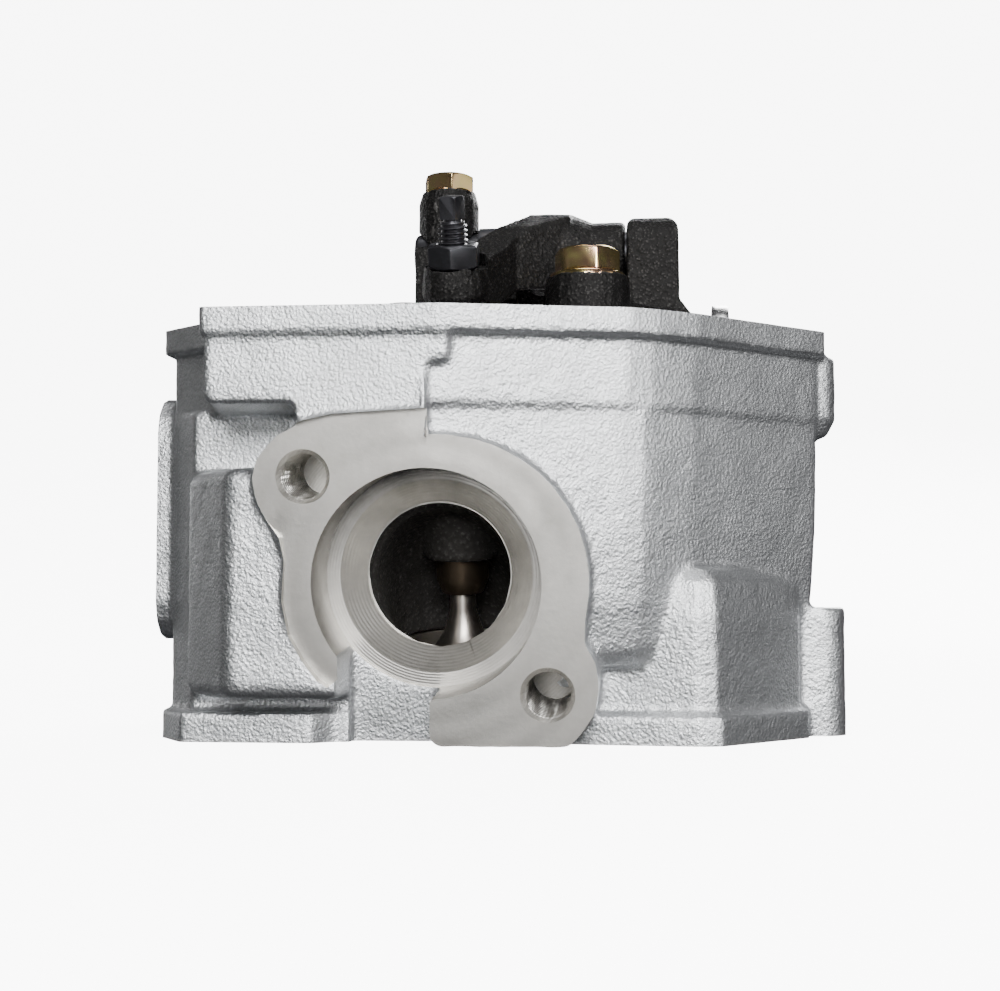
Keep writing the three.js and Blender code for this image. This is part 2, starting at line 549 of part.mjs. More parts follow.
// ---------- rocker holder ----------
function holder() {
  const foot = camZ + gap / 2;
  const front = boreY - 23;
  const rear = boreY + 23;
  const sideView = [
    [front, foot], [rear, foot], [rear, 103], ...arc(rear - 6, pedestalTop - 6, 6, 0, 90, 4),
    ...arc(front + 6, pedestalTop - 6, 6, 90, 180, 4), [front, 103],
  ];
  const frontView = [
    [rightBearing[0], foot], [rightBearing[1] + 4, foot], [rightBearing[1] + 3.6, 87], [rightBearing[1] + 0.2, 91.5],
    ...arc(rightBearing[1] - 3.2, pedestalTop - 3.2, 3.2, 0, 90, 4),
    ...arc(rightBearing[0] + 2.4, pedestalTop - 2.4, 2.4, 90, 180, 4),
  ];
  const right = slabX(sideView, rightBearing[0], rightBearing[1] + 4).intersect(slabY(frontView, front, rear));
  const plateRoom = block(rightBearing[1], rightBearing[1] + 9, boreY - 11, boreY + 24, 60, 93);
  const column = turned([[0, foot], [tower.radius + 1.6, foot], [tower.radius + 0.6, 94], [tower.radius, 98],
    [tower.radius, tower.top - 1.2], [tower.radius - 1, tower.top], [0, tower.top]], at(tower.x, tower.y, 0));
  const shaftRear = shaftY('intake');
  const web = [
    [tower.y - 7, foot], [tower.y + 3.6, foot], [tower.y + 3.6, 92], [shaftRear - 6, 92], [shaftRear - 6, foot],
    [shaftRear + 8.5, foot], [shaftRear + 8.5, 106], [shaftRear + 5, 110.5], [shaftRear - 5, 110.5],
    [shaftRear - 9, 106], [tower.y + 4, 106], [tower.y, 108], [tower.y - 6.6, 104],
  ];
  const cap = [
    [boreY - 15, foot], [boreY + 15, foot], [boreY + 15, 88], [boreY + 10, 91.5], [boreY - 10, 91.5],
    [boreY - 15, 88],
  ];
  const { front: f, rear: r, left: l } = feet;
  const webFoot = (y, sign) => prism([
    [f.x - 4, y + sign * 7], [f.x + 5, y - sign * 7], [rightBearing[1], y + sign * 9],
    [rightBearing[1], y + sign * 15], [rightBearing[0], y + sign * 15],
  ], foot, 89);
  const bosses = Object.values(feet).map(({ x, y, radius, top }) =>
    turned([[0, foot], [radius + 0.8, foot], [radius, foot + 6], [radius, top - 0.8], [radius - 0.8, top], [0, top]],
      at(x, y, 0)));
  const bridge = slabX([[boreY - rib.y, rib.bottom], [boreY + rib.y, rib.bottom], [boreY + rib.y, rib.top - 1],
    [boreY + rib.y - 1, rib.top], [boreY - rib.y + 1, rib.top], [boreY - rib.y, rib.top - 1]],
  post[0] + 0.5, rightBearing[0] + 2);
  const body = join(
    cut(right, plateRoom), column, slabX(web, post[0], post[1]), slabX(cap, leftBearing[0], post[0] + 1),
    block(leftBearing[0] + 1, leftBearing[1], boreY + 10, l.y, foot, 89.5), webFoot(f.y, 1), webFoot(r.y, -1),
    bosses, bridge);
  const shaftBores = sides.map((side) => barX(disc(shaftRadius + gap, post[0] - 4, rightBearing[1] - 2),
    shaftY(side), shaftZ));
  const bolts = Object.values(feet).map(({ x, y }) => post3(x, y, 4 + gap, foot - 1, 130, 16));
  const dowelSeats = [f, r].map(({ x, y }) => post3(x, y, 5.5 + gap, foot - 1, foot + 5));
  const towerBolt = post3(tower.x, tower.y, 3 + gap, foot - 1, 130, 16);
  const pin = post3(rightBearing[0] + 5.5, shaftY('intake'), 1.5 + gap, shaftZ - 8, 130, 12);
  return cut(body, camRoom, shaftBores, bolts, dowelSeats, towerBolt, pin, sides.map(springRoom));
}
add('rocker_holder', holder(), 'blackIron');

// ---------- rocker shafts, spacers and pins ----------
for (const side of sides) {
  const bar = barX([[0, post[0] - 0.5], [shaftRadius - 0.6, post[0] - 0.5], [shaftRadius, post[0] + 0.1],
    [shaftRadius, rightBearing[1] - 3.1], [shaftRadius - 0.6, rightBearing[1] - 2.5], [0, rightBearing[1] - 2.5]],
  shaftY(side), shaftZ);
  const crossHole = side === 'exhaust'
    ? post3(tower.x, tower.y, 3 + gap, 80, 120, 16)
    : post3(rightBearing[0] + 5.5, shaftY(side), 1.5 + gap, shaftZ - 8, 120, 12);
  add(`${side}_rocker_shaft`, cut(bar, crossHole), 'groundSteel');
}
const spacer = (name, side, x0, x1) =>
  add(name, barX(ring(shaftRadius + gap, shaftRadius + gap + spacerWall, x0, x1), shaftY(side), shaftZ, 20),
    'blackSteel');
spacer('exhaust_shaft_spacer', 'exhaust', tower.x + tower.radius + gap, hub.exhaust[0] - gap);
spacer('intake_shaft_spacer', 'intake', hub.intake[1] + gap, rightBearing[0] - gap);
add('intake_shaft_pin', post3(rightBearing[0] + 5.5, shaftY('intake'), 1.5, shaftZ - 7, pedestalTop - 0.5, 12),
  'blackSteel');

// ---------- rockers ----------
function rocker(side) {
  const sign = towards[side];
  const y = (out) => boreY + sign * out; // out: distance from the cam axis towards the valve
  const x = valveX[side];
  const [h0, h1] = hub[side];
  const boss = turned([[0, bossBottom], [4.6, bossBottom], [6.4, bossBottom + 1.6], [7, 5.5], [6.8, 8],
    [5.9, bossHeight], [0, bossHeight]], screwAt(side));
  const side0 = [
    [41, 89.6], [33, 88.6], [25.5, 93.5], [shaftOffset + 1, 95.6], [shaftOffset - 3, 96], [shaftOffset - 3, 110],
    [shaftOffset + 1, 112], [shaftOffset + 6.5, 110.8], [25, 107], [30.5, 101.6], [36, 98.4], [41, 96.6],
  ].map(([out, z]) => [y(out), z]);
  const plan = (side === 'exhaust'
    ? [[41, x - 3.5], [41, x + 4], [37, x + 6.5], [27, h0 - 2], [20, h0 + 9], [9, h0 + 9], [9, h0], [19, h0],
      [26, x + 6.5], [34, x - 4]]
    : [[41, x - 3.5], [41, x + 3.5], [34, x + 5], [22, x + 4.6], [9, x + 6], [9, x - 6], [22, x - 4.6], [34, x - 5]]
  ).map(([out, px]) => [px, y(out)]);
  const arm = slabX(side0, -40, 60).intersect(prism(plan, 80, 120));
  const slim = side === 'exhaust' ? 6.9 : 8.2;
  const sleeve = barX([[0, h0], [8.2, h0], [8.8, h0 + 0.8], [8.8, h0 + 9], [slim, h1 - 7], [slim, h1 - 0.6],
    [slim - 0.6, h1], [0, h1]], shaftY(side), shaftZ, 20);
  const touch = rad(side === 'exhaust' ? padAngle : 180 - padAngle);
  const far = baseRadius + gap + padRadius;
  const centre = [boreY + far * Math.cos(touch), camZ + far * Math.sin(touch)];
  const slipper = sign < 0 ? arc(centre[0], centre[1], padRadius, 236, 268, 6)
    : arc(centre[0], centre[1], padRadius, 304, 272, 6);
  const padTop = [[-3.9, 95.2], [-2.5, 97], [2, 99], [6, 101.5], [10, 104], [14, 100]].map(([out, z]) => [y(out), z]);
  const pad = slabX([...slipper, ...padTop], lobe[side][0] + 0.2, lobe[side][1] - 0.2);
  const screwRoom = turned(disc(screwRadius + gap, -4, 40), screwAt(side), 20);
  const nutRoom = turned(disc(nutFlats / Math.sqrt(3) + air, bossHeight, 30), screwAt(side));
  const shaftRoom = barX(disc(shaftRadius + gap, h0 - 9, h1 + 9), shaftY(side), shaftZ);
  const spacerRadius = shaftRadius + spacerWall + 2 * gap;
  const spacerRoom = [[h0 - 9, h0], [h1, h1 + 9]]
    .map(([x0, x1]) => barX(disc(spacerRadius, x0, x1), shaftY(side), shaftZ));
  return cut(join(arm, sleeve, pad, boss), screwRoom, nutRoom, shaftRoom, spacerRoom);
}

for (const side of sides) {
  add(`${side}_rocker`, rocker(side), 'blackIron');
  const place = screwAt(side);
  const threadTop = screwLength - 5;
  const square = turned([[0, threadTop - 1], [2.7, threadTop - 1], [2.7, screwLength - 0.5], [2.2, screwLength],
    [0, screwLength]], place, 4, 20);
  const screw = turned([[0, gap], [1.6, gap + 0.2], [2.5, gap + 1.6], [screwRadius, gap + 2],
    [screwRadius, threadTop - 0.8], [screwRadius - 0.9, threadTop + 0.4], [0, threadTop + 0.4]], place, 20);
  add(`${side}_adjusting_screw`, join(screw, square), 'blackSteel');
  const corner = nutFlats / Math.sqrt(3);
  const low = bossHeight + gap;
  const nut = turned([[0, low], [corner - 0.9, low], [corner, low + 0.6], [corner, low + nutHeight - 0.6],
    [corner - 0.9, low + nutHeight], [0, low + nutHeight]], place, 6, side === 'exhaust' ? 0 : 12);
  add(`${side}_lock_nut`, cut(nut, turned(disc(screwRadius + gap, 5, 20), place, 20)), 'blackSteel');
}

// ---------- bolts and dowels ----------
function flangeBolt({ x, y, seat, radius, length, flats, flange, flangeHeight, headHeight, turn }) {
  const corner = flats / Math.sqrt(3);
  const hex = turned([[0, seat + 0.5], [corner, seat + 0.5], [corner, seat + headHeight - 0.7],
    [corner - 0.8, seat + headHeight], [0, seat + headHeight]], at(x, y, 0), 6, turn);
  const round = turned([[0, seat - length], [radius - 0.6, seat - length], [radius, seat - length + 0.8], [radius, seat],
    [flange, seat], [flange, seat + flangeHeight * 0.5], [corner * 0.93, seat + flangeHeight], [0, seat + flangeHeight]],
  at(x, y, 0), 24);
  return join(round, hex);
}
add('tower_bolt', flangeBolt({ x: tower.x, y: tower.y, seat: tower.top + gap, radius: 3, length: 48, flats: 10,
  flange: 5.9, flangeHeight: 1.1, headHeight: 4.9, turn: 13 }), 'yellowZinc');
for (const [name, { x, y, top }] of Object.entries(feet)) {
  add(`holder_bolt_${name}`, flangeBolt({ x, y, seat: top + gap, radius: 4, length: top - camZ + 20, flats: 12,
    flange: 8, flangeHeight: 1.9, headHeight: 6.8, turn: 11 }), 'yellowZinc');
}
for (const name of ['front', 'rear']) {
  const { x, y } = feet[name];
  add(`holder_dowel_${name}`, turned(ring(4 + gap, 5.5, camZ - 4.8, camZ + 4.8), at(x, y, 0), 20), 'groundSteel');
}

// ---------- the whole, standing on its deck with its box centred on the origin ----------
const extent = new THREE.Box3().setFromObject(head);
const middle = extent.getCenter(new THREE.Vector3());
head.position.set(-middle.x, -middle.y, 0);

export default head;
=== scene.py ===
"""Cylinder head of a liquid-cooled single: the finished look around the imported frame.

The castings start as copies of the frame's own solids. They get stock on their machined faces,
are remeshed and smoothed so that every cast edge is round, and are then cut back to size with
cutters taken from the frame, so that what a mill or a drill has touched is flat and crisp.
Bolts, screws, nuts and springs are drawn afresh where the frame has them. The other small pieces
are copies of its solids with their corners broken.
All lengths are in metres; MM turns millimetres into them.
"""
import json
import math

import bmesh
import bpy
import numpy as np
from bpy.props import FloatProperty, FloatVectorProperty, IntProperty
from mathutils import Matrix, Vector, noise


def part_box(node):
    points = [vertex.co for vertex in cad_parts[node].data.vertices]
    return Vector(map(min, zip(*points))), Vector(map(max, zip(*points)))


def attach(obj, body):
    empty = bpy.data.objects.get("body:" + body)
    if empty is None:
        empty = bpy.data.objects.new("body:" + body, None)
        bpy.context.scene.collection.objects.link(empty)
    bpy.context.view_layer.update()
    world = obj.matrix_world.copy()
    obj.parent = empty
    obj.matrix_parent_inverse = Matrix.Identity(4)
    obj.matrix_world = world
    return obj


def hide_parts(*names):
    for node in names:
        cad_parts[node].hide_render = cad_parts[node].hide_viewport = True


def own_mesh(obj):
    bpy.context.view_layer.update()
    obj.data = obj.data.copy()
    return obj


bl_info = {
    "name": "Cylinder head",
    "version": (1, 0, 0),
    "blender": (4, 5, 0),
    "location": "3D View > Sidebar > Cylinder head",
    "description": "Builds the cylinder head's castings, valve gear and finishes around its frame",
    "category": "Object",
}

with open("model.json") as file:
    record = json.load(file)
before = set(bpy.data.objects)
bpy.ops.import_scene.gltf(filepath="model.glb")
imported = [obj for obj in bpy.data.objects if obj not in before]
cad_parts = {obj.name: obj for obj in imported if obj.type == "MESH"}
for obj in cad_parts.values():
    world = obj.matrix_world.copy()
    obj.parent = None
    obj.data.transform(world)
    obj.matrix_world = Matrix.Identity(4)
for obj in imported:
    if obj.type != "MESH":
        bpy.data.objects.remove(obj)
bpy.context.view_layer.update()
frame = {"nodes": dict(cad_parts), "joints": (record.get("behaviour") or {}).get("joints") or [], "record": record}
MM = 0.001

# ---------- places, all from the frame ----------
SIDES = ("exhaust", "intake")
TOWARDS = {"exhaust": -1, "intake": 1}
JOINTS = {joint["name"]: joint for joint in frame["joints"]}
MOUNTS = {mount["name"]: mount for mount in frame["record"]["mounts"]}


def box_centre(node):
    low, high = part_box(node)
    return (low + high) / 2


def axes_matrix(origin, up, across=Vector((1, 0, 0))):
    """A placing whose Z is up and whose X lies as near to across as it can."""
    z = Vector(up).normalized()
    y = z.cross(across).normalized()
    x = y.cross(z)
    turn = Matrix((x, y, z)).transposed().to_4x4()
    return Matrix.Translation(origin) @ turn


HEAD_LOW, HEAD_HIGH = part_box("cylinder_head")
PAD_X = -59.2 * MM  # the side pad's face, counted from the exhaust port's middle
RIM_FRONT = -0.8 * MM  # the rim's front edge, counted the same way
PORT_ZERO = Vector((HEAD_LOW.x - PAD_X, HEAD_LOW.y - RIM_FRONT, 0))
SEAT_MIDDLE = 3.05 * MM  # half-way up a valve seat ring, from the valve's own zero
NUT_MIDDLE = 13.4 * MM  # half-way up a lock nut, from the valve's tip
SCREW_TILT = math.radians(20)  # how far an adjusting screw leans from upright
CAM = Vector(JOINTS["camshaft_turn"]["pos_m"])


def from_port(x, y, z):
    """A point given in millimetres from under the exhaust port's middle."""
    return PORT_ZERO + Vector((x, y, z)) * MM


def stem_frame(side):
    up = -Vector(JOINTS[side + "_valve_lift"]["axis"])
    return axes_matrix(box_centre(side + "_valve_seat") - up * SEAT_MIDDLE, up)


def screw_frame(side):
    """Along the adjusting screw, with its zero at the valve's tip."""
    up = Vector((0, TOWARDS[side] * math.sin(SCREW_TILT), math.cos(SCREW_TILT)))
    return axes_matrix(box_centre(side + "_lock_nut") - up * NUT_MIDDLE, up)


def shaft_frame(side):
    """Z runs along the rocker shaft, from the middle of the exhaust port's plane."""
    pivot = JOINTS[side + "_rocker_pivot"]["pos_m"]
    return axes_matrix(Vector((PORT_ZERO.x, pivot[1], pivot[2])), Vector((1, 0, 0)), Vector((0, 0, -1)))


PORT_FACE = Vector(MOUNTS["exhaust_face"]["axis"])
PORT_FRAME = axes_matrix(from_port(0, 4.5, 30.7), PORT_FACE)
INTAKE_FRAME = axes_matrix(from_port(8, 127.5, 35), Vector(MOUNTS["intake_face"]["axis"]))
CAM_FRAME = axes_matrix(Vector((PORT_ZERO.x, CAM.y, CAM.z)), Vector((1, 0, 0)), Vector((0, 0, -1)))
STUDS = ((-23.1, 20.4), (22.8, -20.9))  # on the exhaust flange, in millimetres from the port's middle
COVER_SCREWS = ((-35.5, 8), (70, 50.5), (-49.5, 99), (36, 116.5))
HEAD_BOLTS = [(8 + 38 * i, 69 + 37 * j) for i in (-1, 1) for j in (-1, 1)]


# ---------- sizes and colours that a user may change ----------
class HeadSizes(bpy.types.PropertyGroup):
    voxel: FloatProperty(name="Casting voxel", description="Grid that the head casting is remeshed on",
                         default=0.62 * MM, unit="LENGTH", precision=5)
    fine_voxel: FloatProperty(name="Fine voxel", description="Grid for remeshing the holder and rockers",
                              default=0.4 * MM, unit="LENGTH", precision=5)
    fillet: IntProperty(name="Fillet passes", description="Smoothing passes that round the cast edges",
                        default=7, min=0, max=40)
    stock: FloatProperty(name="Stock", description="Metal left on a machined face before it is cut back",
                         default=2.2 * MM, unit="LENGTH", precision=5)
    swell: FloatProperty(name="Swell", description="How far the sand lets a cast surface wander",
                         default=0.13 * MM, unit="LENGTH", precision=5)
    facets: IntProperty(name="Facets", description="Segments around a turned piece", default=72, min=12)
    edge: FloatProperty(name="Edge break", description="Rounding on turned and milled corners",
                        default=0.25 * MM, unit="LENGTH", precision=5)


class HeadFinishes(bpy.types.PropertyGroup):
    paint: FloatVectorProperty(name="Paint", description="Silver paint on the casting", subtype="COLOR",
                               default=(0.60, 0.61, 0.62))
    bare: FloatVectorProperty(name="Bare aluminium", description="Machined aluminium", subtype="COLOR",
                              default=(0.66, 0.64, 0.60))
    iron: FloatVectorProperty(name="Black iron", description="Coated rocker gear", subtype="COLOR",
                              default=(0.030, 0.029, 0.028))
    zinc: FloatVectorProperty(name="Yellow zinc", description="Chromated bolt plating", subtype="COLOR",
                              default=(0.86, 0.66, 0.28))
    steel: FloatVectorProperty(name="Ground steel", description="Shafts and journals", subtype="COLOR",
                               default=(0.58, 0.58, 0.58))


# ---------- meshes ----------
def link(name, mesh):
    obj = bpy.data.objects.new(name, mesh)
    bpy.context.scene.collection.objects.link(obj)
    return obj


def mesh_of(name, verts, faces):
    mesh = bpy.data.meshes.new(name)
    mesh.from_pydata([tuple(v) for v in verts], [], faces)
    mesh.update()
    return mesh


def settle(obj):
    """Makes the modifiers' result the object's own mesh."""
    bpy.context.view_layer.update()
    shaped = obj.evaluated_get(bpy.context.evaluated_depsgraph_get())
    mesh = bpy.data.meshes.new_from_object(shaped)
    mesh.name = obj.name
    obj.modifiers.clear()
    obj.data = mesh
    return obj


def crisp(obj, degrees=32):
    """Smooth shading up to that angle, sharp past it."""
    obj.data.polygons.foreach_set("use_smooth", [True] * len(obj.data.polygons))
    obj.data.set_sharp_from_angle(angle=math.radians(degrees))
    return obj


def combine(target, tools, operation="DIFFERENCE", finish=None):
    """Joins to or cuts from target each closed tool, and removes the tools. A cut face takes finish."""
    for tool in tools:
        if finish and not tool.data.materials:
            tool.data.materials.append(finish)
        step = target.modifiers.new("combine", "BOOLEAN")
        step.solver = "MANIFOLD"
        step.material_mode = "TRANSFER"
        step.operation = operation
        step.object = tool
        settle(target)
        bpy.data.objects.remove(tool)
    return target


def broken(profile, edge):
    """The profile with each corner replaced by a short arc of about that size."""
    points = [Vector(p) for p in profile]
    closed = points[0].x > 1e-9
    out = []
    for i, here in enumerate(points):
        if not closed and i in (0, len(points) - 1):
            out.append(here)
            continue
        before, after = points[i - 1], points[(i + 1) % len(points)]
        a, b = before - here, after - here
        size = min(edge, 0.35 * a.length, 0.35 * b.length)
        if size < 1e-6 or abs(a.normalized().dot(b.normalized())) > 0.985:
            out.append(here)
            continue
        start, end = here + a.normalized() * size, here + b.normalized() * size
        out += [start, (start + end) * 0.25 + here * 0.5, end]
    return out


def turned(name, profile, place, edge=None, facets=None):
    """A body of revolution about place's Z. The profile's points are (radius, height) in millimetres."""
    sizes = bpy.context.scene.head_sizes
    facets = facets or sizes.facets
    points = [Vector(p) * MM for p in profile]
    if sum(a.cross(b) for a, b in zip(points, points[1:] + points[:1])) < 0:
        points.reverse()
    points = broken(points, sizes.edge if edge is None else edge)
    verts, faces, rings = [], [], []
    for r, z in points:
        if r < 1e-7:
            rings.append([len(verts)] * facets)
            verts.append(place @ Vector((0, 0, z)))
            continue
        rings.append(list(range(len(verts), len(verts) + facets)))
        for k in range(facets):
            a = 2 * math.pi * k / facets
            verts.append(place @ Vector((r * math.cos(a), r * math.sin(a), z)))
    pairs = list(zip(rings, rings[1:]))
    if points[0].x > 1e-7:
        pairs.append((rings[-1], rings[0]))
    for low, high in pairs:
        for k in range(facets):
            n = (k + 1) % facets
            face = list(dict.fromkeys((low[k], low[n], high[n], high[k])))
            if len(face) > 2:
                faces.append(face)
    return crisp(link(name, mesh_of(name, verts, faces)))


def disc(r, z0, z1):
    return [(0, z0), (r, z0), (r, z1), (0, z1)]


def threaded(name, radius, depth, pitch, z0, z1, place, facets=48):
    """A closed screw of true helical thread, its ends run down to the root. Millimetres."""
    rows = int((z1 - z0) / pitch * 10) + 1
    verts, faces = [], []
    for i in range(rows):
        z = z0 + (z1 - z0) * i / (rows - 1)
        fade = min(1, (z - z0) / pitch, (z1 - z) / pitch)
        for k in range(facets):
            phase = (z / pitch - k / facets) % 1
            crest = min(1, max(0, 1.25 - abs(phase - 0.5) * 4)) * fade
            r = radius - depth * (1 - crest)
            a = 2 * math.pi * k / facets
            verts.append(place @ (Vector((r * math.cos(a), r * math.sin(a), z)) * MM))
    for i in range(rows - 1):
        for k in range(facets):
            n = (k + 1) % facets
            faces.append((i * facets + k, i * facets + n, (i + 1) * facets + n, (i + 1) * facets + k))
    faces.append(tuple(reversed(range(facets))))
    faces.append(tuple(range((rows - 1) * facets, rows * facets)))
    return link(name, mesh_of(name, verts, faces))


def prism(name, outline, z0, z1, place):
    """An outline in millimetres raised along place's Z."""
    n = len(outline)
    verts = [place @ (Vector((x, y, z)) * MM) for z in (z0, z1) for x, y in outline]
    faces = [tuple(reversed(range(n))), tuple(range(n, 2 * n))]
    faces += [(k, (k + 1) % n, n + (k + 1) % n, n + k) for k in range(n)]
    return link(name, mesh_of(name, verts, faces))


def polygon(sides, radius, turn):
    angles = [math.radians(turn) + 2 * math.pi * k / sides for k in range(sides)]
    return [(radius * math.cos(a), radius * math.sin(a)) for a in angles]


def soften(obj, width, segments=2, degrees=40):
    """Rounds the sharp edges of a milled or forged piece."""
    step = obj.modifiers.new("soften", "BEVEL")
    step.width = width * MM
    step.segments = segments
    step.limit_method = "ANGLE"
    step.angle_limit = math.radians(degrees)
    settle(obj)
    return crisp(obj)


def hexagon(name, flats, z0, z1, place, turn, both=False):
    """A hexagon with the 30-degree chamfer that a lathe leaves on its corners, at both ends if both."""
    corner = flats / math.sqrt(3)
    body = prism(name, polygon(6, corner, turn), z0, z1, place)
    outer, inner = corner * 1.06, flats * 0.47
    rise = (outer - inner) * math.tan(math.radians(30))
    low = [(inner, z0), (outer, z0 + rise)] if both else [(outer, z0)]
    cone = [(0, z0), *low, (outer, z1 - rise), (inner, z1), (0, z1)]
    combine(body, [turned("cone", cone, place, edge=0)], "INTERSECT")
    return soften(body, 0.14)


# ---------- castings ----------
def frame_copy(node):
    """A copy of a frame solid as a bmesh, its split vertices joined."""
    bm = bmesh.new()
    bm.from_mesh(frame["nodes"][node].data)
    bmesh.ops.remove_doubles(bm, verts=bm.verts, dist=2e-6)
    return bm


def flat_faces(bm, point, normal):
    return [f for f in bm.faces
            if f.normal.dot(normal) > 0.999 and abs((f.calc_center_median() - point).dot(normal)) < 3e-5]


def face_cutter(node, point, normal, height, grow=0.3 * MM):
    """A prism that stands on the frame's own flat faces in one plane, grown a little sideways."""
    bm = frame_copy(node)
    chosen = flat_faces(bm, point, normal)
    inside = set(chosen)
    if not chosen:
        bm.free()
        raise ValueError(f"{node} has no flat face at {tuple(point)}")
    pushes = {}
    borders = []
    for f in chosen:
        for loop in f.loops:
            if any(other in inside for other in loop.edge.link_faces if other is not f):
                continue
            a, b = loop.vert, loop.link_loop_next.vert
            out = (b.co - a.co).normalized().cross(normal)
            pushes.setdefault(a.index, []).append(out)
            pushes.setdefault(b.index, []).append(out)
            borders.append((a.index, b.index))
    used = sorted({v.index for f in chosen for v in f.verts})
    index = {v: i for i, v in enumerate(used)}
    bm.verts.ensure_lookup_table()
    base = []
    for v in used:
        co = bm.verts[v].co.copy()
        outs = pushes.get(v)
        if outs:
            total = sum(outs, Vector())
            bend = max(0.5, total.length_squared / len(outs) ** 2)
            co += total / len(outs) * grow / bend
        base.append(co)
    n = len(base)
    verts = base + [co + normal * height for co in base]
    faces = []
    for f in chosen:
        corners = [index[v.index] for v in f.verts]
        faces.append(tuple(reversed(corners)))
        faces.append(tuple(c + n for c in corners))
    faces += [(index[a], index[b], index[b] + n, index[a] + n) for a, b in borders]
    bm.free()
    return link("cutter", mesh_of("cutter", verts, faces))


def cast(name, node, planes, voxel, passes, most_faces):
    """The frame's solid as a rough casting: stock on its machined faces, round edges, uneven skin."""
    sizes = bpy.context.scene.head_sizes
    bm = frame_copy(node)
    moves = {}
    for point, normal in planes:
        for f in flat_faces(bm, point, normal):
            for v in f.verts:
                moves.setdefault(v.index, set()).add(tuple(round(c, 5) for c in normal))
    bm.verts.ensure_lookup_table()
    for v, normals in moves.items():
        for normal in normals:
            bm.verts[v].co += Vector(normal) * sizes.stock
    mesh = bpy.data.meshes.new(name)
    bm.to_mesh(mesh)
    bm.free()
    obj = link(name, mesh)
    step = obj.modifiers.new("remesh", "REMESH")
    step.mode = "VOXEL"
    step.voxel_size = voxel * 1
    smooth = obj.modifiers.new("smooth", "SMOOTH")
    smooth.factor = 0.5
    smooth.iterations = passes // 1
    settle(obj)
    wander(obj, sizes.swell)
    faces = 2 * len(obj.data.polygons)
    if faces > most_faces:
        thin = obj.modifiers.new("thin", "DECIMATE")
        thin.ratio = most_faces / faces
        settle(obj)
    return obj


def rows_of(items, field):
    """A vector field of every vertex or face, as rows of three."""
    values = np.empty(len(items) * 3, np.float32)
    items.foreach_get(field, values)
    return values.reshape(-1, 3)


def place_vertices(obj, co):
    obj.data.vertices.foreach_set("co", co.ravel())
    obj.data.update()


def wave_at(point):
    return noise.noise(point * 130) + 0.6 * noise.noise(point * 420)


def wander(obj, amount):
    """Moves each vertex a little along its normal, as sand and shrinkage leave a cast skin."""
    co, normals = rows_of(obj.data.vertices, "co"), rows_of(obj.data.vertices, "normal")
    wave = np.array([wave_at(Vector(p)) for p in co], np.float32)
    place_vertices(obj, co + normals * (wave * amount)[:, None])


def stay_inside(obj, node):
    """Presses what stands proud of the frame's own solid back to its box."""
    low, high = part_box(node)
    place_vertices(obj, np.clip(rows_of(obj.data.vertices, "co"), np.array(low), np.array(high)))


def flat_where(obj, finish):
    """Flat shading on the faces that a face mill left, which are planes."""
    slot = obj.data.materials.find(finish.name)
    for face in obj.data.polygons:
        if face.material_index == slot:
            face.use_smooth = False


def paint_inside(obj, slot, place, radius, low, high):
    """Gives another material slot to the first slot's faces inside a round region about place's Z."""
    mesh = obj.data
    index = np.empty(len(mesh.polygons), np.int32)
    mesh.polygons.foreach_get("material_index", index)
    local = np.array(place.inverted())
    p = rows_of(mesh.polygons, "center") @ local[:3, :3].T + local[:3, 3]
    inside = (np.hypot(p[:, 0], p[:, 1]) < radius * MM) & (p[:, 2] > low * MM) & (p[:, 2] < high * MM)
    index[inside & (index == 0)] = slot
    mesh.polygons.foreach_set("material_index", index)
    mesh.update()


# ---------- shader helpers ----------
class Graph:
    """A node tree with short ways to add nodes and links."""

    def __init__(self, tree):
        self.tree = tree
        self.nodes = tree.nodes

    def node(self, kind, settings=None, **inputs):
        made = self.nodes.new(kind)
        for key, value in (settings or {}).items():
            setattr(made, key, value)
        for key, value in inputs.items():
            self.feed(made.inputs[key.replace("_", " ")], value)
        return made

    def feed(self, socket, value):
        if isinstance(value, bpy.types.NodeSocket):
            self.tree.links.new(value, socket)
        else:
            socket.default_value = value

    def math(self, operation, a, b=0.0):
        made = self.node("ShaderNodeMath", {"operation": operation})
        self.feed(made.inputs[0], a)
        self.feed(made.inputs[1], b)
        return made.outputs[0]

    def blend(self, factor, a, b):
        made = self.node("ShaderNodeMix", {"data_type": "RGBA"})
        self.feed(made.inputs[0], factor)
        self.feed(made.inputs[6], a)
        self.feed(made.inputs[7], b)
        return made.outputs[2]

    def ramp(self, factor, *stops):
        """A grey ramp with (position, value) stops."""
        made = self.node("ShaderNodeValToRGB")
        while len(made.color_ramp.elements) < len(stops):
            made.color_ramp.elements.new(1)
        for element, (position, value) in zip(made.color_ramp.elements, stops):
            element.position = position
            element.color = (value, value, value, 1)
        self.feed(made.inputs[0], factor)
        return made.outputs[0]

    def noise(self, vector, scale, detail=3.0, roughness=0.55):
        return self.node("ShaderNodeTexNoise", Vector=vector, Scale=scale, Detail=detail,
                         Roughness=roughness).outputs["Fac"]


def group(name, inputs, outputs, build):
    """A shader node group, made once. An input with no default is a vector, and every output is a number.

    build fills the group, given its graph, its input node and its output node.
    """
    if name in bpy.data.node_groups:
        return bpy.data.node_groups[name]
    tree = bpy.data.node_groups.new(name, "ShaderNodeTree")
    for label, default in inputs.items():
        kind = "NodeSocketVector" if default is None else "NodeSocketFloat"
        socket = tree.interface.new_socket(label, in_out="INPUT", socket_type=kind)
        if default is not None:
            socket.default_value = default
    for label in outputs:
        tree.interface.new_socket(label, in_out="OUTPUT", socket_type="NodeSocketFloat")
    graph = Graph(tree)
    build(graph, graph.node("NodeGroupInput"), graph.node("NodeGroupOutput"))
    return tree


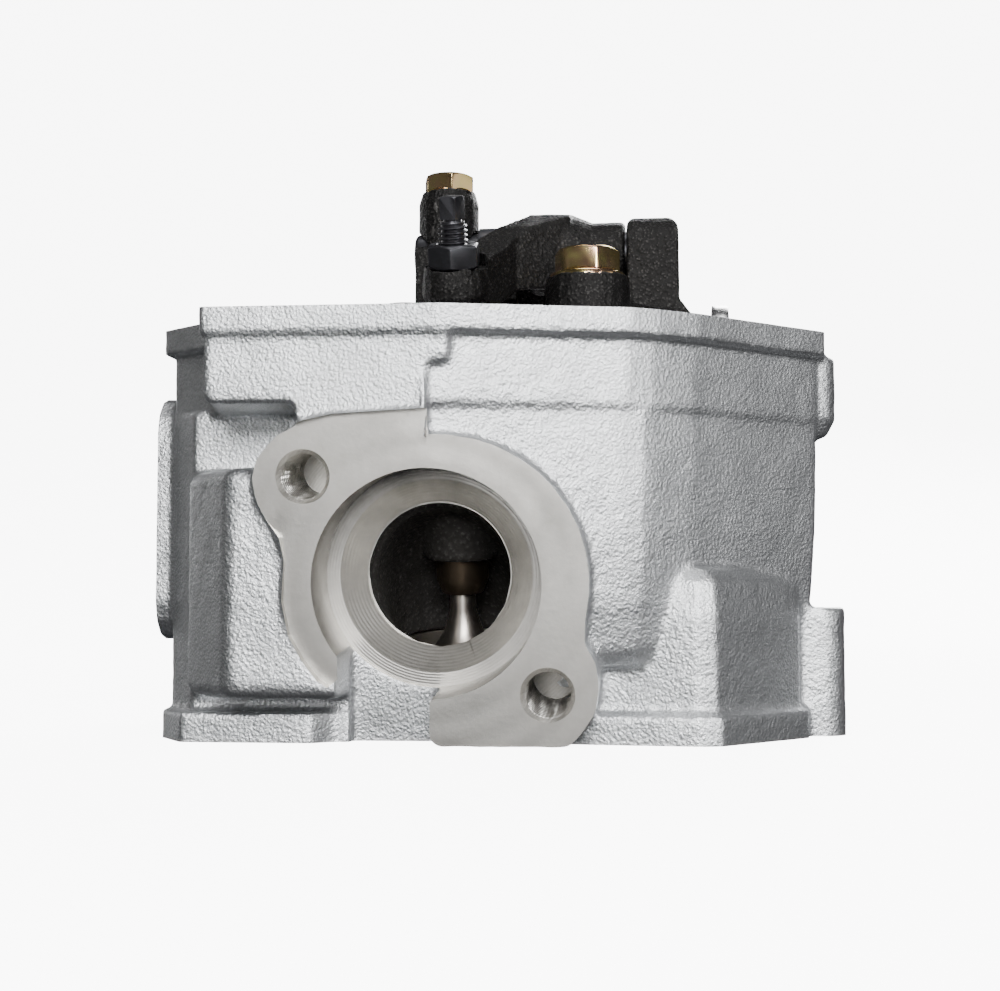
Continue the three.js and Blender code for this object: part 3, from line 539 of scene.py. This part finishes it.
def cast_grain(graph, given, made):
    """Pebbled skin of a sand casting: height, and a tone that follows its pits."""
    place = graph.node("ShaderNodeTexCoord").outputs["Object"]
    scale = given.outputs["Scale"]
    pebble = graph.node("ShaderNodeTexVoronoi", {"feature": "SMOOTH_F1"}, Vector=place, Scale=scale,
                        Smoothness=0.6, Randomness=1.0).outputs["Distance"]
    fine = graph.noise(place, graph.math("MULTIPLY", scale, 1.7), 4.0, 0.62)
    broad = graph.noise(place, graph.math("MULTIPLY", scale, 0.22), 3.0, 0.6)
    worms = graph.math("ABSOLUTE", graph.math("SUBTRACT", broad, 0.5))
    height = graph.math("ADD", graph.math("MULTIPLY", pebble, -0.7), graph.math("MULTIPLY", fine, 0.75))
    height = graph.math("ADD", height, graph.math("MULTIPLY", worms, 0.9))
    graph.feed(made.inputs["Height"], height)
    graph.feed(made.inputs["Tone"], graph.ramp(height, (0.15, 0.0), (0.75, 1.0)))


def edge_wear_and_painted_shade(graph, given, made):
    """Where an edge stands out and has been rubbed, broken up by noise, and painted shade where a corner or crease
    is hollow.
    """
    shape = graph.node("ShaderNodeNewGeometry").outputs["Pointiness"]
    place = graph.node("ShaderNodeTexCoord").outputs["Object"]
    patch = graph.noise(place, 420.0, 4.0, 0.65)
    rubbed = graph.math("ADD", shape, graph.math("MULTIPLY", graph.math("SUBTRACT", patch, 0.5), 0.08))
    worn = graph.math("MULTIPLY", graph.ramp(rubbed, (0.53, 0.0), (0.60, 1.0)), given.outputs["Amount"])
    graph.feed(made.inputs["Worn"], worn)
    # PaintedShade is painted shade: dark where the surface is hollow, as in creases and inner corners.
    graph.feed(made.inputs["PaintedShade"], graph.ramp(shape, (0.40, 1.0), (0.49, 0.0)))


def tool_marks(graph, given, made):
    """Arcs of a face mill or rings of a lathe about the Z of the vector, with smears across them."""
    place = given.outputs["Vector"]
    lines = graph.node("ShaderNodeTexWave", {"wave_type": "RINGS", "rings_direction": "Z"}, Vector=place,
                       Scale=given.outputs["Lines"], Distortion=0.6, Detail=2.0).outputs["Fac"]
    smear = graph.noise(place, 30.0, 6.0, 0.62)
    speck = graph.noise(place, 900.0, 3.0, 0.6)
    height = graph.math("ADD", graph.math("MULTIPLY", lines, 0.5), graph.math("MULTIPLY", speck, 0.5))
    graph.feed(made.inputs["Height"], height)
    graph.feed(made.inputs["Smear"], graph.ramp(smear, (0.35, 0.0), (0.65, 1.0)))
    graph.feed(made.inputs["Speck"], speck)


def grain_group():
    return group("cast_grain", {"Scale": 900.0}, ("Height", "Tone"), cast_grain)


def wear_and_shade_group():
    return group("edge_wear_and_painted_shade", {"Amount": 1.0}, ("Worn", "PaintedShade"), edge_wear_and_painted_shade)


def marks_group():
    return group("tool_marks", {"Vector": None, "Lines": 300.0}, ("Height", "Smear", "Speck"), tool_marks)


def use(graph, tree, **inputs):
    made = graph.node("ShaderNodeGroup", {"node_tree": tree})
    for key, value in inputs.items():
        graph.feed(made.inputs[key], value)
    return made.outputs


def material(name, build):
    """A material made once, under a name kept apart from those that the frame brings in.

    build fills it, given its graph and its principled shader.
    """
    label = name + "_finish"
    if label in bpy.data.materials:
        return bpy.data.materials[label]
    made = bpy.data.materials.new(label)
    made.use_nodes = True
    graph = Graph(made.node_tree)
    build(graph, graph.nodes["Principled BSDF"])
    return made


def rough_between(graph, shader, factor, low, high):
    span = graph.node("ShaderNodeMapRange", Value=factor, To_Min=low, To_Max=high)
    graph.feed(shader.inputs["Roughness"], span.outputs["Result"])


def bump(graph, shader, height, distance, strength):
    made = graph.node("ShaderNodeBump", Height=height, Distance=distance * MM, Strength=strength)
    graph.feed(shader.inputs["Normal"], made.outputs["Normal"])


def rgba(colour, gain=1.0):
    return tuple(min(1.0, c * gain) for c in colour) + (1.0,)


def finishes():
    return bpy.context.scene.head_finishes


def cast_paint():
    def build(graph, shader):
        paint = finishes().paint
        place = graph.node("ShaderNodeTexCoord").outputs["Object"]
        grain = use(graph, grain_group(), Scale=1500.0)
        wear_and_shade = use(graph, wear_and_shade_group(), Amount=0.4)
        patch = graph.noise(place, 38.0, 4.0, 0.6)
        tint = graph.blend(graph.ramp(patch, (0.35, 0.0), (0.7, 1.0)), rgba(paint, 0.93), rgba(paint, 1.06))
        tint = graph.blend(graph.math("MULTIPLY", grain["Tone"], 0.35), tint, rgba(paint, 1.18))
        # Painted shade: the silver paint is darkened in creases and hollow corners.
        tint = graph.blend(graph.math("MULTIPLY", wear_and_shade["PaintedShade"], 0.55), tint, rgba(paint, 0.42))
        tint = graph.blend(wear_and_shade["Worn"], tint, rgba(paint, 1.3))
        graph.feed(shader.inputs["Base Color"], tint)
        shader.inputs["Metallic"].default_value = 0.97
        rough_between(graph, shader, grain["Tone"], 0.42, 0.26)
        coarse = graph.noise(place, 520.0, 3.0, 0.6)
        where = graph.ramp(graph.noise(place, 24.0, 2.0, 0.5), (0.50, 0.1), (0.62, 1.0))
        lumps = graph.math("MULTIPLY", graph.math("MULTIPLY", coarse, where), 1.6)
        bump(graph, shader, graph.math("ADD", grain["Height"], lumps), 0.35, 0.46)

    return material("silver_painted_casting", build)


def port_painted_shade():
    """The port's inside: as cast and unpainted, its colour painted near-black for the shade that falls deep in the
    port.
    """
    def build(graph, shader):
        grain = use(graph, grain_group(), Scale=1000.0)
        # Painted shade: near-black tints stand in for the shade inside the port.
        tint = graph.blend(grain["Tone"], (0.045, 0.043, 0.040, 1), (0.16, 0.155, 0.15, 1))
        graph.feed(shader.inputs["Base Color"], tint)
        shader.inputs["Metallic"].default_value = 0.6
        rough_between(graph, shader, grain["Tone"], 0.62, 0.4)
        bump(graph, shader, grain["Height"], 0.4, 0.6)

    return material("port_painted_shade_casting", build)


def bare_aluminium(name, place, lines):
    """Milled or turned aluminium; place is the frame that its tool turned in."""
    def build(graph, shader):
        bare = finishes().bare
        inverse = place.inverted()
        spot = graph.node("ShaderNodeTexCoord").outputs["Object"]
        local = graph.node("ShaderNodeMapping", {"vector_type": "POINT"}, Vector=spot,
                           Location=inverse.translation, Rotation=inverse.to_euler())
        marks = use(graph, marks_group(), Vector=local.outputs["Vector"], Lines=lines)
        tint = graph.blend(marks["Smear"], rgba(bare, 0.55), rgba(bare, 1.12))
        tint = graph.blend(graph.math("MULTIPLY", marks["Speck"], 0.3), tint, rgba(bare, 0.7))
        graph.feed(shader.inputs["Base Color"], tint)
        shader.inputs["Metallic"].default_value = 0.95
        rough_between(graph, shader, marks["Smear"], 0.52, 0.30)
        bump(graph, shader, marks["Height"], 0.09, 0.5)

    return material(name, build)


def black_iron():
    def build(graph, shader):
        iron = finishes().iron
        grain = use(graph, grain_group(), Scale=1500.0)
        wear_and_shade = use(graph, wear_and_shade_group(), Amount=0.35)
        tint = graph.blend(grain["Tone"], rgba(iron, 0.5), rgba(iron, 3.2))
        tint = graph.blend(wear_and_shade["Worn"], tint, rgba(iron, 6))
        graph.feed(shader.inputs["Base Color"], tint)
        shader.inputs["Metallic"].default_value = 0.85
        rough_between(graph, shader, grain["Tone"], 0.5, 0.22)
        bump(graph, shader, grain["Height"], 0.4, 0.8)

    return material("black_iron", build)


def plain_metal(name, colour, roughness, spread=0.08, metallic=1.0, scale=700.0, wear_gain=2.0, depth=0.03):
    """Any smooth metal: slightly uneven colour and gloss, fine scratches, bright rubbed edges and painted shade in
    hollow corners.
    """
    def build(graph, shader):
        place = graph.node("ShaderNodeTexCoord").outputs["Object"]
        wear_and_shade = use(graph, wear_and_shade_group(), Amount=0.5)
        fine = graph.noise(place, scale, 4.0, 0.6)
        cloud = graph.noise(place, 120.0, 3.0, 0.5)
        cloud = graph.ramp(cloud, (0.35, 0.0), (0.65, 1.0))
        tint = graph.blend(cloud, rgba(colour, 0.85), rgba(colour, 1.12))
        # Painted shade: the metal is darkened in creases and hollow corners.
        tint = graph.blend(graph.math("MULTIPLY", wear_and_shade["PaintedShade"], 0.15), tint, rgba(colour, 0.4))
        tint = graph.blend(wear_and_shade["Worn"], tint, rgba(colour, wear_gain))
        graph.feed(shader.inputs["Base Color"], tint)
        shader.inputs["Metallic"].default_value = metallic
        rough_between(graph, shader, fine, max(0.05, roughness - spread), roughness + spread)
        bump(graph, shader, fine, depth, 0.25)

    return material(name, build)


def yellow_zinc():
    def build(graph, shader):
        zinc = finishes().zinc
        place = graph.node("ShaderNodeTexCoord").outputs["Object"]
        film = graph.noise(place, 160.0, 3.0, 0.5)
        second = graph.noise(place, 330.0, 2.0, 0.5)
        wear_and_shade = use(graph, wear_and_shade_group(), Amount=0.5)
        pink = (min(1, zinc[0] * 1.12), zinc[1] * 0.86, zinc[2] * 1.5, 1)
        green = (zinc[0] * 0.86, min(1, zinc[1] * 1.12), zinc[2] * 0.9, 1)
        tint = graph.blend(graph.ramp(film, (0.42, 0.0), (0.62, 0.75)), rgba(zinc), pink)
        tint = graph.blend(graph.ramp(second, (0.5, 0.0), (0.7, 0.6)), tint, green)
        # Painted shade: the zinc is darkened in creases and hollow corners.
        tint = graph.blend(graph.math("MULTIPLY", wear_and_shade["PaintedShade"], 0.25), tint, rgba(zinc, 0.35))
        graph.feed(shader.inputs["Base Color"], tint)
        shader.inputs["Metallic"].default_value = 1.0
        rough_between(graph, shader, second, 0.10, 0.24)
        bump(graph, shader, second, 0.03, 0.2)

    return material("yellow_zinc", build)


def rubber():
    def build(graph, shader):
        place = graph.node("ShaderNodeTexCoord").outputs["Object"]
        fine = graph.noise(place, 1200.0, 3.0, 0.6)
        cloud = graph.ramp(fine, (0.3, 0.0), (0.7, 1.0))
        tint = graph.blend(cloud, (0.03, 0.075, 0.035, 1), (0.06, 0.14, 0.06, 1))
        graph.feed(shader.inputs["Base Color"], tint)
        rough_between(graph, shader, fine, 0.55, 0.8)
        bump(graph, shader, fine, 0.04, 0.3)

    return material("green_rubber", build)


def metal_of(name, colour, roughness, **more):
    return lambda: plain_metal(name, colour, roughness, **more)


# The finish of each material slot. The phosphated steel is another skin for a ground_steel piece.
FINISHES = {
    "cast_aluminium": cast_paint,
    "black_iron": black_iron,
    "black_steel": metal_of("black_oxide_steel", (0.045, 0.045, 0.05), 0.36, metallic=0.8, wear_gain=5.0),
    "ground_steel": lambda: plain_metal("ground_steel", tuple(finishes().steel), 0.24),
    "phosphated_steel": metal_of("phosphated_steel", (0.05, 0.05, 0.055), 0.34, metallic=0.8),
    "spring_steel": metal_of("shot_peened_wire", (0.13, 0.14, 0.17), 0.36, wear_gain=1.8, depth=0.06),
    "valve_steel": metal_of("valve_steel", (0.36, 0.33, 0.30), 0.33),
    "sintered_seat": metal_of("sintered_seat", (0.38, 0.36, 0.32), 0.4, scale=1600.0, depth=0.06),
    # The guide's bronze is darkened well below real bronze: painted shade for its place deep in the port.
    "bronze": metal_of("bronze", (0.11, 0.085, 0.06), 0.45),
    "yellow_zinc": yellow_zinc,
    "green_rubber": rubber,
}


def dress(obj, slot, body, *nodes):
    """Gives a piece its finish, its body and the frame nodes that it stands for."""
    if not any(obj.data.materials):
        obj.data.materials.clear()
        obj.data.materials.append(FINISHES[slot]())
    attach(obj, body)
    if nodes:
        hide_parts(*nodes)
    return obj


def refined(node, slot, body, edge=0.2, degrees=38, skin=None):
    """A copy of a small frame solid with its coplanar triangles joined and its corners broken."""
    bm = frame_copy(node)
    bmesh.ops.dissolve_limit(bm, angle_limit=math.radians(1), verts=bm.verts, edges=bm.edges)
    mesh = bpy.data.meshes.new(node + "_finish")
    bm.to_mesh(mesh)
    bm.free()
    obj = soften(link(node + "_finish", mesh), edge, 2, degrees)
    if skin:
        obj.data.materials.append(FINISHES[skin]())
    return dress(obj, slot, body, node)


# ---------- operators ----------
class HEAD_OT_casting(bpy.types.Operator):
    """Make the head casting: rough skin, then milled faces, bores and threads"""
    bl_idname = "head.casting"
    bl_label = "Head casting"

    def execute(self, context):
        sizes = context.scene.head_sizes
        up, down = Vector((0, 0, 1)), Vector((0, 0, -1))
        joint = Vector((CAM.x, CAM.y, CAM.z - 0.15 * MM))
        port = (PORT_FRAME.translation, PORT_FACE)
        intake = (INTAKE_FRAME.translation, Vector(MOUNTS["intake_face"]["axis"]))
        rim, deck, pad = (HEAD_HIGH, up), (HEAD_LOW, down), (HEAD_LOW, Vector((-1, 0, 0)))
        planes = [port, intake, rim, deck, pad, (joint, up)]
        obj = cast("casting", "cylinder_head", planes, sizes.voxel, sizes.fillet, 240000)
        obj.data.materials.clear()
        obj.data.materials.append(FINISHES["cast_aluminium"]())
        milled = bare_aluminium("milled_aluminium", PORT_FRAME, 60.0)
        tight, open_round = [port, (joint, up)], [intake, rim, deck, pad]
        tall, wide = 9 * MM, 3 * MM
        cutters = [face_cutter("cylinder_head", *plane, tall) for plane in tight]
        cutters += [face_cutter("cylinder_head", *plane, tall, wide) for plane in open_round]
        combine(obj, cutters, finish=milled)
        turned_finish = bare_aluminium("turned_aluminium", PORT_FRAME, 560.0)
        combine(obj, self.drills(), finish=turned_finish)
        # The port's inside takes the painted-shade material.
        obj.data.materials.append(port_painted_shade())
        paint_inside(obj, len(obj.data.materials) - 1, PORT_FRAME, 19, -75, -20.3)
        stay_inside(obj, "cylinder_head")
        crisp(obj, 38)
        flat_where(obj, milled)
        dress(obj, "cast_aluminium", "head", "cylinder_head")
        return {"FINISHED"}

    def drills(self):
        port_steps = [(0, 8), (21.9, 8), (21.9, -15.3), (19.1, -15.3), (14.5, -20.3), (14.5, -21), (0, -21)]
        tools = [turned("counterbore", port_steps, PORT_FRAME, edge=0)]
        intake_steps = [(0, 8), (16.12, 8), (16.12, -6), (0, -6)]
        tools.append(turned("intake_mouth", intake_steps, INTAKE_FRAME, edge=0))
        for u, v in STUDS:
            place = PORT_FRAME @ Matrix.Translation(Vector((u, v, 0)) * MM)
            tools.append(threaded("stud_thread", 4.95, 0.62, 1.5, -22, 3, place))
            mouth = [(0, 3), (8, 3), (5.3, 0.1), (4.2, -1.2), (0, -1.2)]
            tools.append(turned("stud_mouth", mouth, place, edge=0))
        for x, y in HEAD_BOLTS:
            place = Matrix.Translation(from_port(x, y, 0))
            steps = [(0, 66), (9.6, 66), (9.6, 57.8), (5.35, 57.8), (5.35, -4), (0, -4)]
            tools.append(turned("head_bolt_hole", steps, place, edge=0))
        for x, y in COVER_SCREWS:
            place = Matrix.Translation(from_port(x, y, 0))
            steps = [(0, 90), (9.5, 90), (2.6, 82.5), (2.6, 68), (0, 68)]
            tools.append(turned("cover_screw_hole", steps, place, edge=0))
        return tools


# Each bolt: thread radius, across flats, flange radius, flange height, underside height, turn in degrees.
BOLTS = {
    "tower_bolt": (3, 10, 5.9, 1.1, 116.3, -17),
    "holder_bolt_front": (4, 12, 8, 1.9, 93.6, -11),
    "holder_bolt_rear": (4, 12, 8, 1.9, 93.6, -11),
    "holder_bolt_left": (4, 12, 8, 1.9, 91.8, -11),
}


class HEAD_OT_holder(bpy.types.Operator):
    """Make the iron rocker holder, cast and then milled where it seats"""
    bl_idname = "head.holder"
    bl_label = "Rocker holder"

    def execute(self, context):
        sizes = context.scene.head_sizes
        up = Vector((0, 0, 1))
        low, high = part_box("rocker_holder")
        tops = sorted({round(self.seat(node), 6) for node in BOLTS})  # each plane once
        planes = [(Vector((0, 0, z)), up) for z in tops] + [(low, -up)]
        obj = cast("holder_casting", "rocker_holder", planes, sizes.fine_voxel, 6, 170000)
        cutters = [face_cutter("rocker_holder", *plane, 3 * MM) for plane in planes]
        cutters.append(turned("bearing", disc(10.35, -40, 60), CAM_FRAME, edge=0))
        combine(obj, cutters)
        crisp(obj, 38)
        dress(obj, "black_iron", "head", "rocker_holder")
        return {"FINISHED"}

    def seat(self, node):
        """Height of the face that this bolt clamps."""
        return (BOLTS[node][4] - 0.3) * MM


class HEAD_OT_bolts(bpy.types.Operator):
    """Make the yellow-zinc flange bolts"""
    bl_idname = "head.bolts"
    bl_label = "Flange bolts"

    def execute(self, context):
        for node, (radius, flats, flange, rise, seat, turn) in BOLTS.items():
            low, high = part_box(node)
            centre = (low + high) / 2
            place = Matrix.Translation((centre.x, centre.y, 0))
            bottom, top = low.z / MM, high.z / MM
            head = hexagon(node + "_finish", flats, seat + 0.5 * rise, top, place, turn)
            washer = [(0, seat), (flange - 0.1, seat), (flange, seat + 0.25 * rise),
                      (flange - 0.2, seat + 0.75 * rise), (flats * 0.5, seat + rise + 0.45),
                      (0, seat + rise + 0.45)]
            stem = [(0, bottom), (radius - 0.7, bottom), (radius, bottom + 0.8), (radius, seat + 0.3),
                    (0, seat + 0.3)]
            dish = [(0, top - 0.35), (flats * 0.30, top - 0.35), (flats * 0.34, top + 1), (0, top + 1)]
            added = [turned("washer", washer, place, edge=0.2 * MM), turned("stem", stem, place, edge=0)]
            combine(head, added, "UNION")
            combine(head, [turned("dish", dish, place, edge=0)])
            dress(crisp(head, 30), "yellow_zinc", "head", node)
        return {"FINISHED"}


class HEAD_OT_rockers(bpy.types.Operator):
    """Make the two rockers"""
    bl_idname = "head.rockers"
    bl_label = "Rockers"

    def execute(self, context):
        sizes = context.scene.head_sizes
        for side in SIDES:
            node = side + "_rocker"
            seat = screw_frame(side) @ Vector((0, 0, 10.6 * MM))
            top = screw_frame(side).to_3x3() @ Vector((0, 0, 1))
            obj = cast(node + "_casting", node, [(seat, top)], sizes.fine_voxel * 0.9, 4, 60000)
            cutters = [face_cutter(node, seat, top, 2.5 * MM)]
            cutters.append(turned("shaft_bore", disc(5.3, -20, 60), shaft_frame(side), edge=0))
            cutters.append(turned("screw_bore", disc(3.3, -4, 14), screw_frame(side), edge=0))
            combine(obj, cutters)
            stay_inside(obj, node)
            crisp(obj, 38)
            dress(obj, "black_iron", side + "_rocker_body", node)
        return {"FINISHED"}


class HEAD_OT_adjusters(bpy.types.Operator):
    """Make the adjusting screws, threaded and squared, with their lock nuts"""
    bl_idname = "head.adjusters"
    bl_label = "Adjusting screws"

    def execute(self, context):
        for side in SIDES:
            place = screw_frame(side)
            body = side + "_rocker_body"
            node = side + "_adjusting_screw"
            screw = threaded(node + "_finish", 2.98, 0.52, 1.0, 2.2, 20.4, place, 56)
            foot = [(0, 0.3), (1.6, 0.5), (2.45, 1.9), (2.45, 3.2), (0, 3.2)]
            neck = [(0, 19.4), (2.45, 19.4), (1.85, 20.6), (1.85, 21.2), (0, 21.2)]
            ends = [turned("foot", foot, place, facets=40), turned("neck", neck, place, facets=40)]
            combine(screw, ends, "UNION")
            square = prism("square", polygon(4, 2.68, 20), 20.9, 25.55, place)
            top = [(0, 20), (3.2, 20), (3.2, 24.6), (2.2, 25.58), (0, 25.58)]
            combine(square, [turned("top", top, place, facets=40, edge=0)], "INTERSECT")
            combine(screw, [soften(square, 0.18)], "UNION")
            dress(crisp(screw, 30), "black_steel", body, node)
            nut_turn = 30 if side == "exhaust" else -18
            nut = hexagon(side + "_lock_nut_finish", 10, 10.9, 15.9, place, nut_turn, both=True)
            bore = [(0, 10), (3.9, 10), (3.15, 11.6), (3.15, 15.2), (3.9, 17), (0, 17)]
            combine(nut, [turned("nut_bore", bore, place, edge=0)])
            dress(crisp(nut, 30), "black_steel", body, side + "_lock_nut")
        return {"FINISHED"}


SPRING_LOW, SPRING_HIGH = 41.35, 67.9  # millimetres up the stem


class HEAD_OT_springs(bpy.types.Operator):
    """Coil the valve springs, with closed and ground ends"""
    bl_idname = "head.springs"
    bl_label = "Valve springs"

    def execute(self, context):
        for side in SIDES:
            place = stem_frame(side)
            node = side + "_valve_spring"
            obj = self.coil(node + "_finish", place, SPRING_LOW, SPRING_HIGH, 1.78, 10.7, 5.5)
            dress(obj, "spring_steel", side + "_valve_body", node)
            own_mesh(obj)
        return {"FINISHED"}

    def coil(self, name, place, bottom, top, wire, mean, turns):
        """A helix of that wire radius, mean radius and number of turns, flat where its ends are ground."""
        around, along, closed = 16, 56, 0.75
        steps = int(turns * along)
        verts, faces = [], []
        low, high = bottom + wire, top - wire
        for i in range(steps + 1):
            t = i / along
            rise = min(max((t - closed) / (turns - 2 * closed), 0), 1)
            z = low + (high - low) * rise
            z += wire * 0.25 * (min(t, closed) / closed - 1) if t < closed else 0
            a = 2 * math.pi * t
            out = Vector((math.cos(a), math.sin(a), 0))
            for k in range(around):
                b = 2 * math.pi * k / around
                p = out * (mean + wire * math.cos(b)) + Vector((0, 0, z + wire * math.sin(b)))
                p.z = min(max(p.z, bottom), top)
                verts.append(place @ (p * MM))
        for i in range(steps):
            for k in range(around):
                n = (k + 1) % around
                faces.append((i * around + n, i * around + k, (i + 1) * around + k, (i + 1) * around + n))
        faces.append(tuple(range(around)))
        faces.append(tuple(reversed(range(steps * around, (steps + 1) * around))))
        return crisp(link(name, mesh_of(name, verts, faces)), 50)


class HEAD_OT_valves(bpy.types.Operator):
    """Finish the valves and what holds, guides and seals them"""
    bl_idname = "head.valves"
    bl_label = "Valves"

    def execute(self, context):
        for side in SIDES:
            moving = side + "_valve_body"
            refined(side + "_valve", "valve_steel", moving, 0.2)
            refined(side + "_spring_retainer", "black_steel", moving, 0.2)
            for half in ("left", "right"):
                refined(f"{side}_collet_{half}", "ground_steel", moving, 0.08)
            refined(side + "_valve_seat", "sintered_seat", "head", 0.1, 50)
            refined(side + "_valve_guide", "bronze", "head", 0.3)
            refined(side + "_spring_seat", "ground_steel", "head", 0.15)
            refined(side + "_stem_seal", "green_rubber", "head", 0.2)
        return {"FINISHED"}


class HEAD_OT_shafts(bpy.types.Operator):
    """Finish the rocker shafts, their spacers and pin, and the dowels"""
    bl_idname = "head.shafts"
    bl_label = "Rocker shafts"

    def execute(self, context):
        for side in SIDES:
            refined(side + "_rocker_shaft", "ground_steel", "head", 0.2, skin="phosphated_steel")
            refined(side + "_shaft_spacer", "black_steel", "head", 0.15)
        refined("intake_shaft_pin", "black_steel", "head", 0.15)
        for end in ("front", "rear"):
            refined("holder_dowel_" + end, "ground_steel", "head", 0.15)
        return {"FINISHED"}


class HEAD_OT_camshaft(bpy.types.Operator):
    """Finish the camshaft and the plate that holds it endways"""
    bl_idname = "head.camshaft"
    bl_label = "Camshaft"

    def execute(self, context):
        refined("camshaft", "ground_steel", "camshaft", 0.3, 32)
        refined("cam_thrust_plate", "black_steel", "head", 0.25)
        refined("thrust_plate_screw", "yellow_zinc", "head", 0.15)
        return {"FINISHED"}


class HEAD_OT_core_plug(bpy.types.Operator):
    """Finish the pressed plug of the water jacket"""
    bl_idname = "head.core_plug"
    bl_label = "Core plug"

    def execute(self, context):
        refined("core_plug", "yellow_zinc", "head", 0.35)
        return {"FINISHED"}


class HEAD_OT_stage(bpy.types.Operator):
    """Set the pale floor, the soft lights and the camera"""
    bl_idname = "head.stage"
    bl_label = "Stage"

    def execute(self, context):
        self.floor()
        self.world(context)
        self.lights()
        self.cards()
        camera = bpy.data.cameras.new("camera")
        camera.lens = 62.2
        camera.sensor_width = 36
        holder = bpy.data.objects.new("camera", camera)
        context.scene.collection.objects.link(holder)
        holder.location = (0.03373, -0.38181, 0.02696)
        holder.rotation_euler = (math.radians(93.6), 0, math.radians(5.5))
        context.scene.camera = holder
        return {"FINISHED"}

    def floor(self):
        """A floor that rises into a wall behind, in one curve."""
        width, near, bend, tall = 3.0, -3.0, 1.2, 2.6
        path = [(near, 0.0), (0.8, 0.0)]
        path += [(0.8 + bend * math.sin(a), bend * (1 - math.cos(a)))
                 for a in (math.radians(d) for d in range(6, 91, 6))]
        path.append((0.8 + bend, tall))
        verts = [(x, y, z) for y, z in path for x in (-width, width)]
        faces = [(2 * i, 2 * i + 1, 2 * i + 3, 2 * i + 2) for i in range(len(path) - 1)]
        obj = crisp(link("floor", mesh_of("floor", verts, faces)), 60)

        def build(graph, shader):
            place = graph.node("ShaderNodeTexCoord").outputs["Object"]
            fine = graph.noise(place, 60.0, 3.0, 0.6)
            tint = graph.blend(fine, (0.90, 0.90, 0.90, 1), (0.93, 0.93, 0.93, 1))
            graph.feed(shader.inputs["Base Color"], tint)
            shader.inputs["Emission Color"].default_value = (1, 1, 1, 1)
            shader.inputs["Emission Strength"].default_value = 8.0
            rough_between(graph, shader, fine, 0.7, 0.9)

        obj.data.materials.append(material("pale_floor", build))
        obj.visible_diffuse = False
        obj.visible_glossy = False

    def world(self, context):
        """Dim all round the object, white where the camera looks past the floor."""
        world = bpy.data.worlds.new("studio")
        world.use_nodes = True
        graph = Graph(world.node_tree)
        seen = graph.node("ShaderNodeLightPath").outputs["Is Camera Ray"]
        backdrop = graph.blend(seen, (0.038, 0.039, 0.043, 1), (10, 10, 10, 1))
        graph.feed(graph.nodes["Background"].inputs["Color"], backdrop)
        context.scene.world = world

    def lights(self):
        middle = (0, 0, 0.05)
        self.area("key_light", (0.12, -1.15, 0.46), middle, (0.55, 0.45), 20)
        self.area("low_light", (0.02, -1.25, 0.02), middle, (0.30, 0.22), 2)
        self.area("ridge_light", (0.80, -0.85, 0.28), middle, (0.12, 0.7), 6.5)
        self.area("right_light", (1.25, -0.25, 0.40), middle, (0.4, 0.8), 0.9)
        self.area("top_light", (0.05, -0.1, 1.2), middle, (0.6, 0.6), 6)
        self.area("back_light", (0.35, 1.15, 0.75), middle, (0.7, 0.6), 22)
        self.area("left_back_light", (-1.1, 0.75, 0.35), middle, (0.6, 0.6), 8)

    def area(self, name, place, aim, size, power):
        light = bpy.data.lights.new(name, "AREA")
        light.shape = "RECTANGLE"
        light.size, light.size_y = size
        light.energy = power
        obj = bpy.data.objects.new(name, light)
        bpy.context.scene.collection.objects.link(obj)
        obj.location = place
        obj.rotation_euler = (Vector(aim) - Vector(place)).to_track_quat("-Z", "Y").to_euler()

    def cards(self):
        """Black cards out of the camera's sight, which darken what the metal mirrors."""
        def build(graph, shader):
            place = graph.node("ShaderNodeTexCoord").outputs["Object"]
            fine = graph.noise(place, 40.0)
            tint = graph.blend(fine, (0.010, 0.010, 0.010, 1), (0.016, 0.016, 0.016, 1))
            graph.feed(shader.inputs["Base Color"], tint)
            rough_between(graph, shader, fine, 0.8, 1.0)

        corners = [(-0.42, -0.5, 0.0), (-0.42, 0.35, 0.0), (-0.42, 0.35, 0.5), (-0.42, -0.5, 0.5)]
        obj = link("left_card", mesh_of("left_card", corners, [(0, 1, 2, 3)]))
        obj.data.materials.append(material("black_card", build))
        obj.visible_camera = False
        obj.visible_shadow = False


# ---------- panel and registration ----------
STEPS = (HEAD_OT_casting, HEAD_OT_holder, HEAD_OT_rockers, HEAD_OT_adjusters, HEAD_OT_bolts, HEAD_OT_springs,
         HEAD_OT_valves, HEAD_OT_shafts, HEAD_OT_camshaft, HEAD_OT_core_plug, HEAD_OT_stage)


class HEAD_PT_panel(bpy.types.Panel):
    """Lists the sizes, the finishes and the building steps"""
    bl_idname = "HEAD_PT_panel"
    bl_label = "Cylinder head"
    bl_space_type = "VIEW_3D"
    bl_region_type = "UI"
    bl_category = "Cylinder head"

    def draw(self, context):
        for group_of_values in (context.scene.head_sizes, context.scene.head_finishes):
            box = self.layout.box()
            for name in group_of_values.bl_rna.properties.keys():
                if name not in ("rna_type", "name"):
                    box.prop(group_of_values, name)
        for step in STEPS:
            self.layout.operator(step.bl_idname, text=step.bl_label)


CLASSES = (HeadSizes, HeadFinishes, *STEPS, HEAD_PT_panel)


def register():
    for cls in CLASSES:
        bpy.utils.register_class(cls)
    bpy.types.Scene.head_sizes = bpy.props.PointerProperty(type=HeadSizes)
    bpy.types.Scene.head_finishes = bpy.props.PointerProperty(type=HeadFinishes)


def unregister():
    del bpy.types.Scene.head_finishes
    del bpy.types.Scene.head_sizes
    for cls in reversed(CLASSES):
        bpy.utils.unregister_class(cls)


def main():
    register()
    for step in STEPS:
        family, name = step.bl_idname.split(".")
        getattr(getattr(bpy.ops, family), name)()


if __name__ == "__main__":
    main()
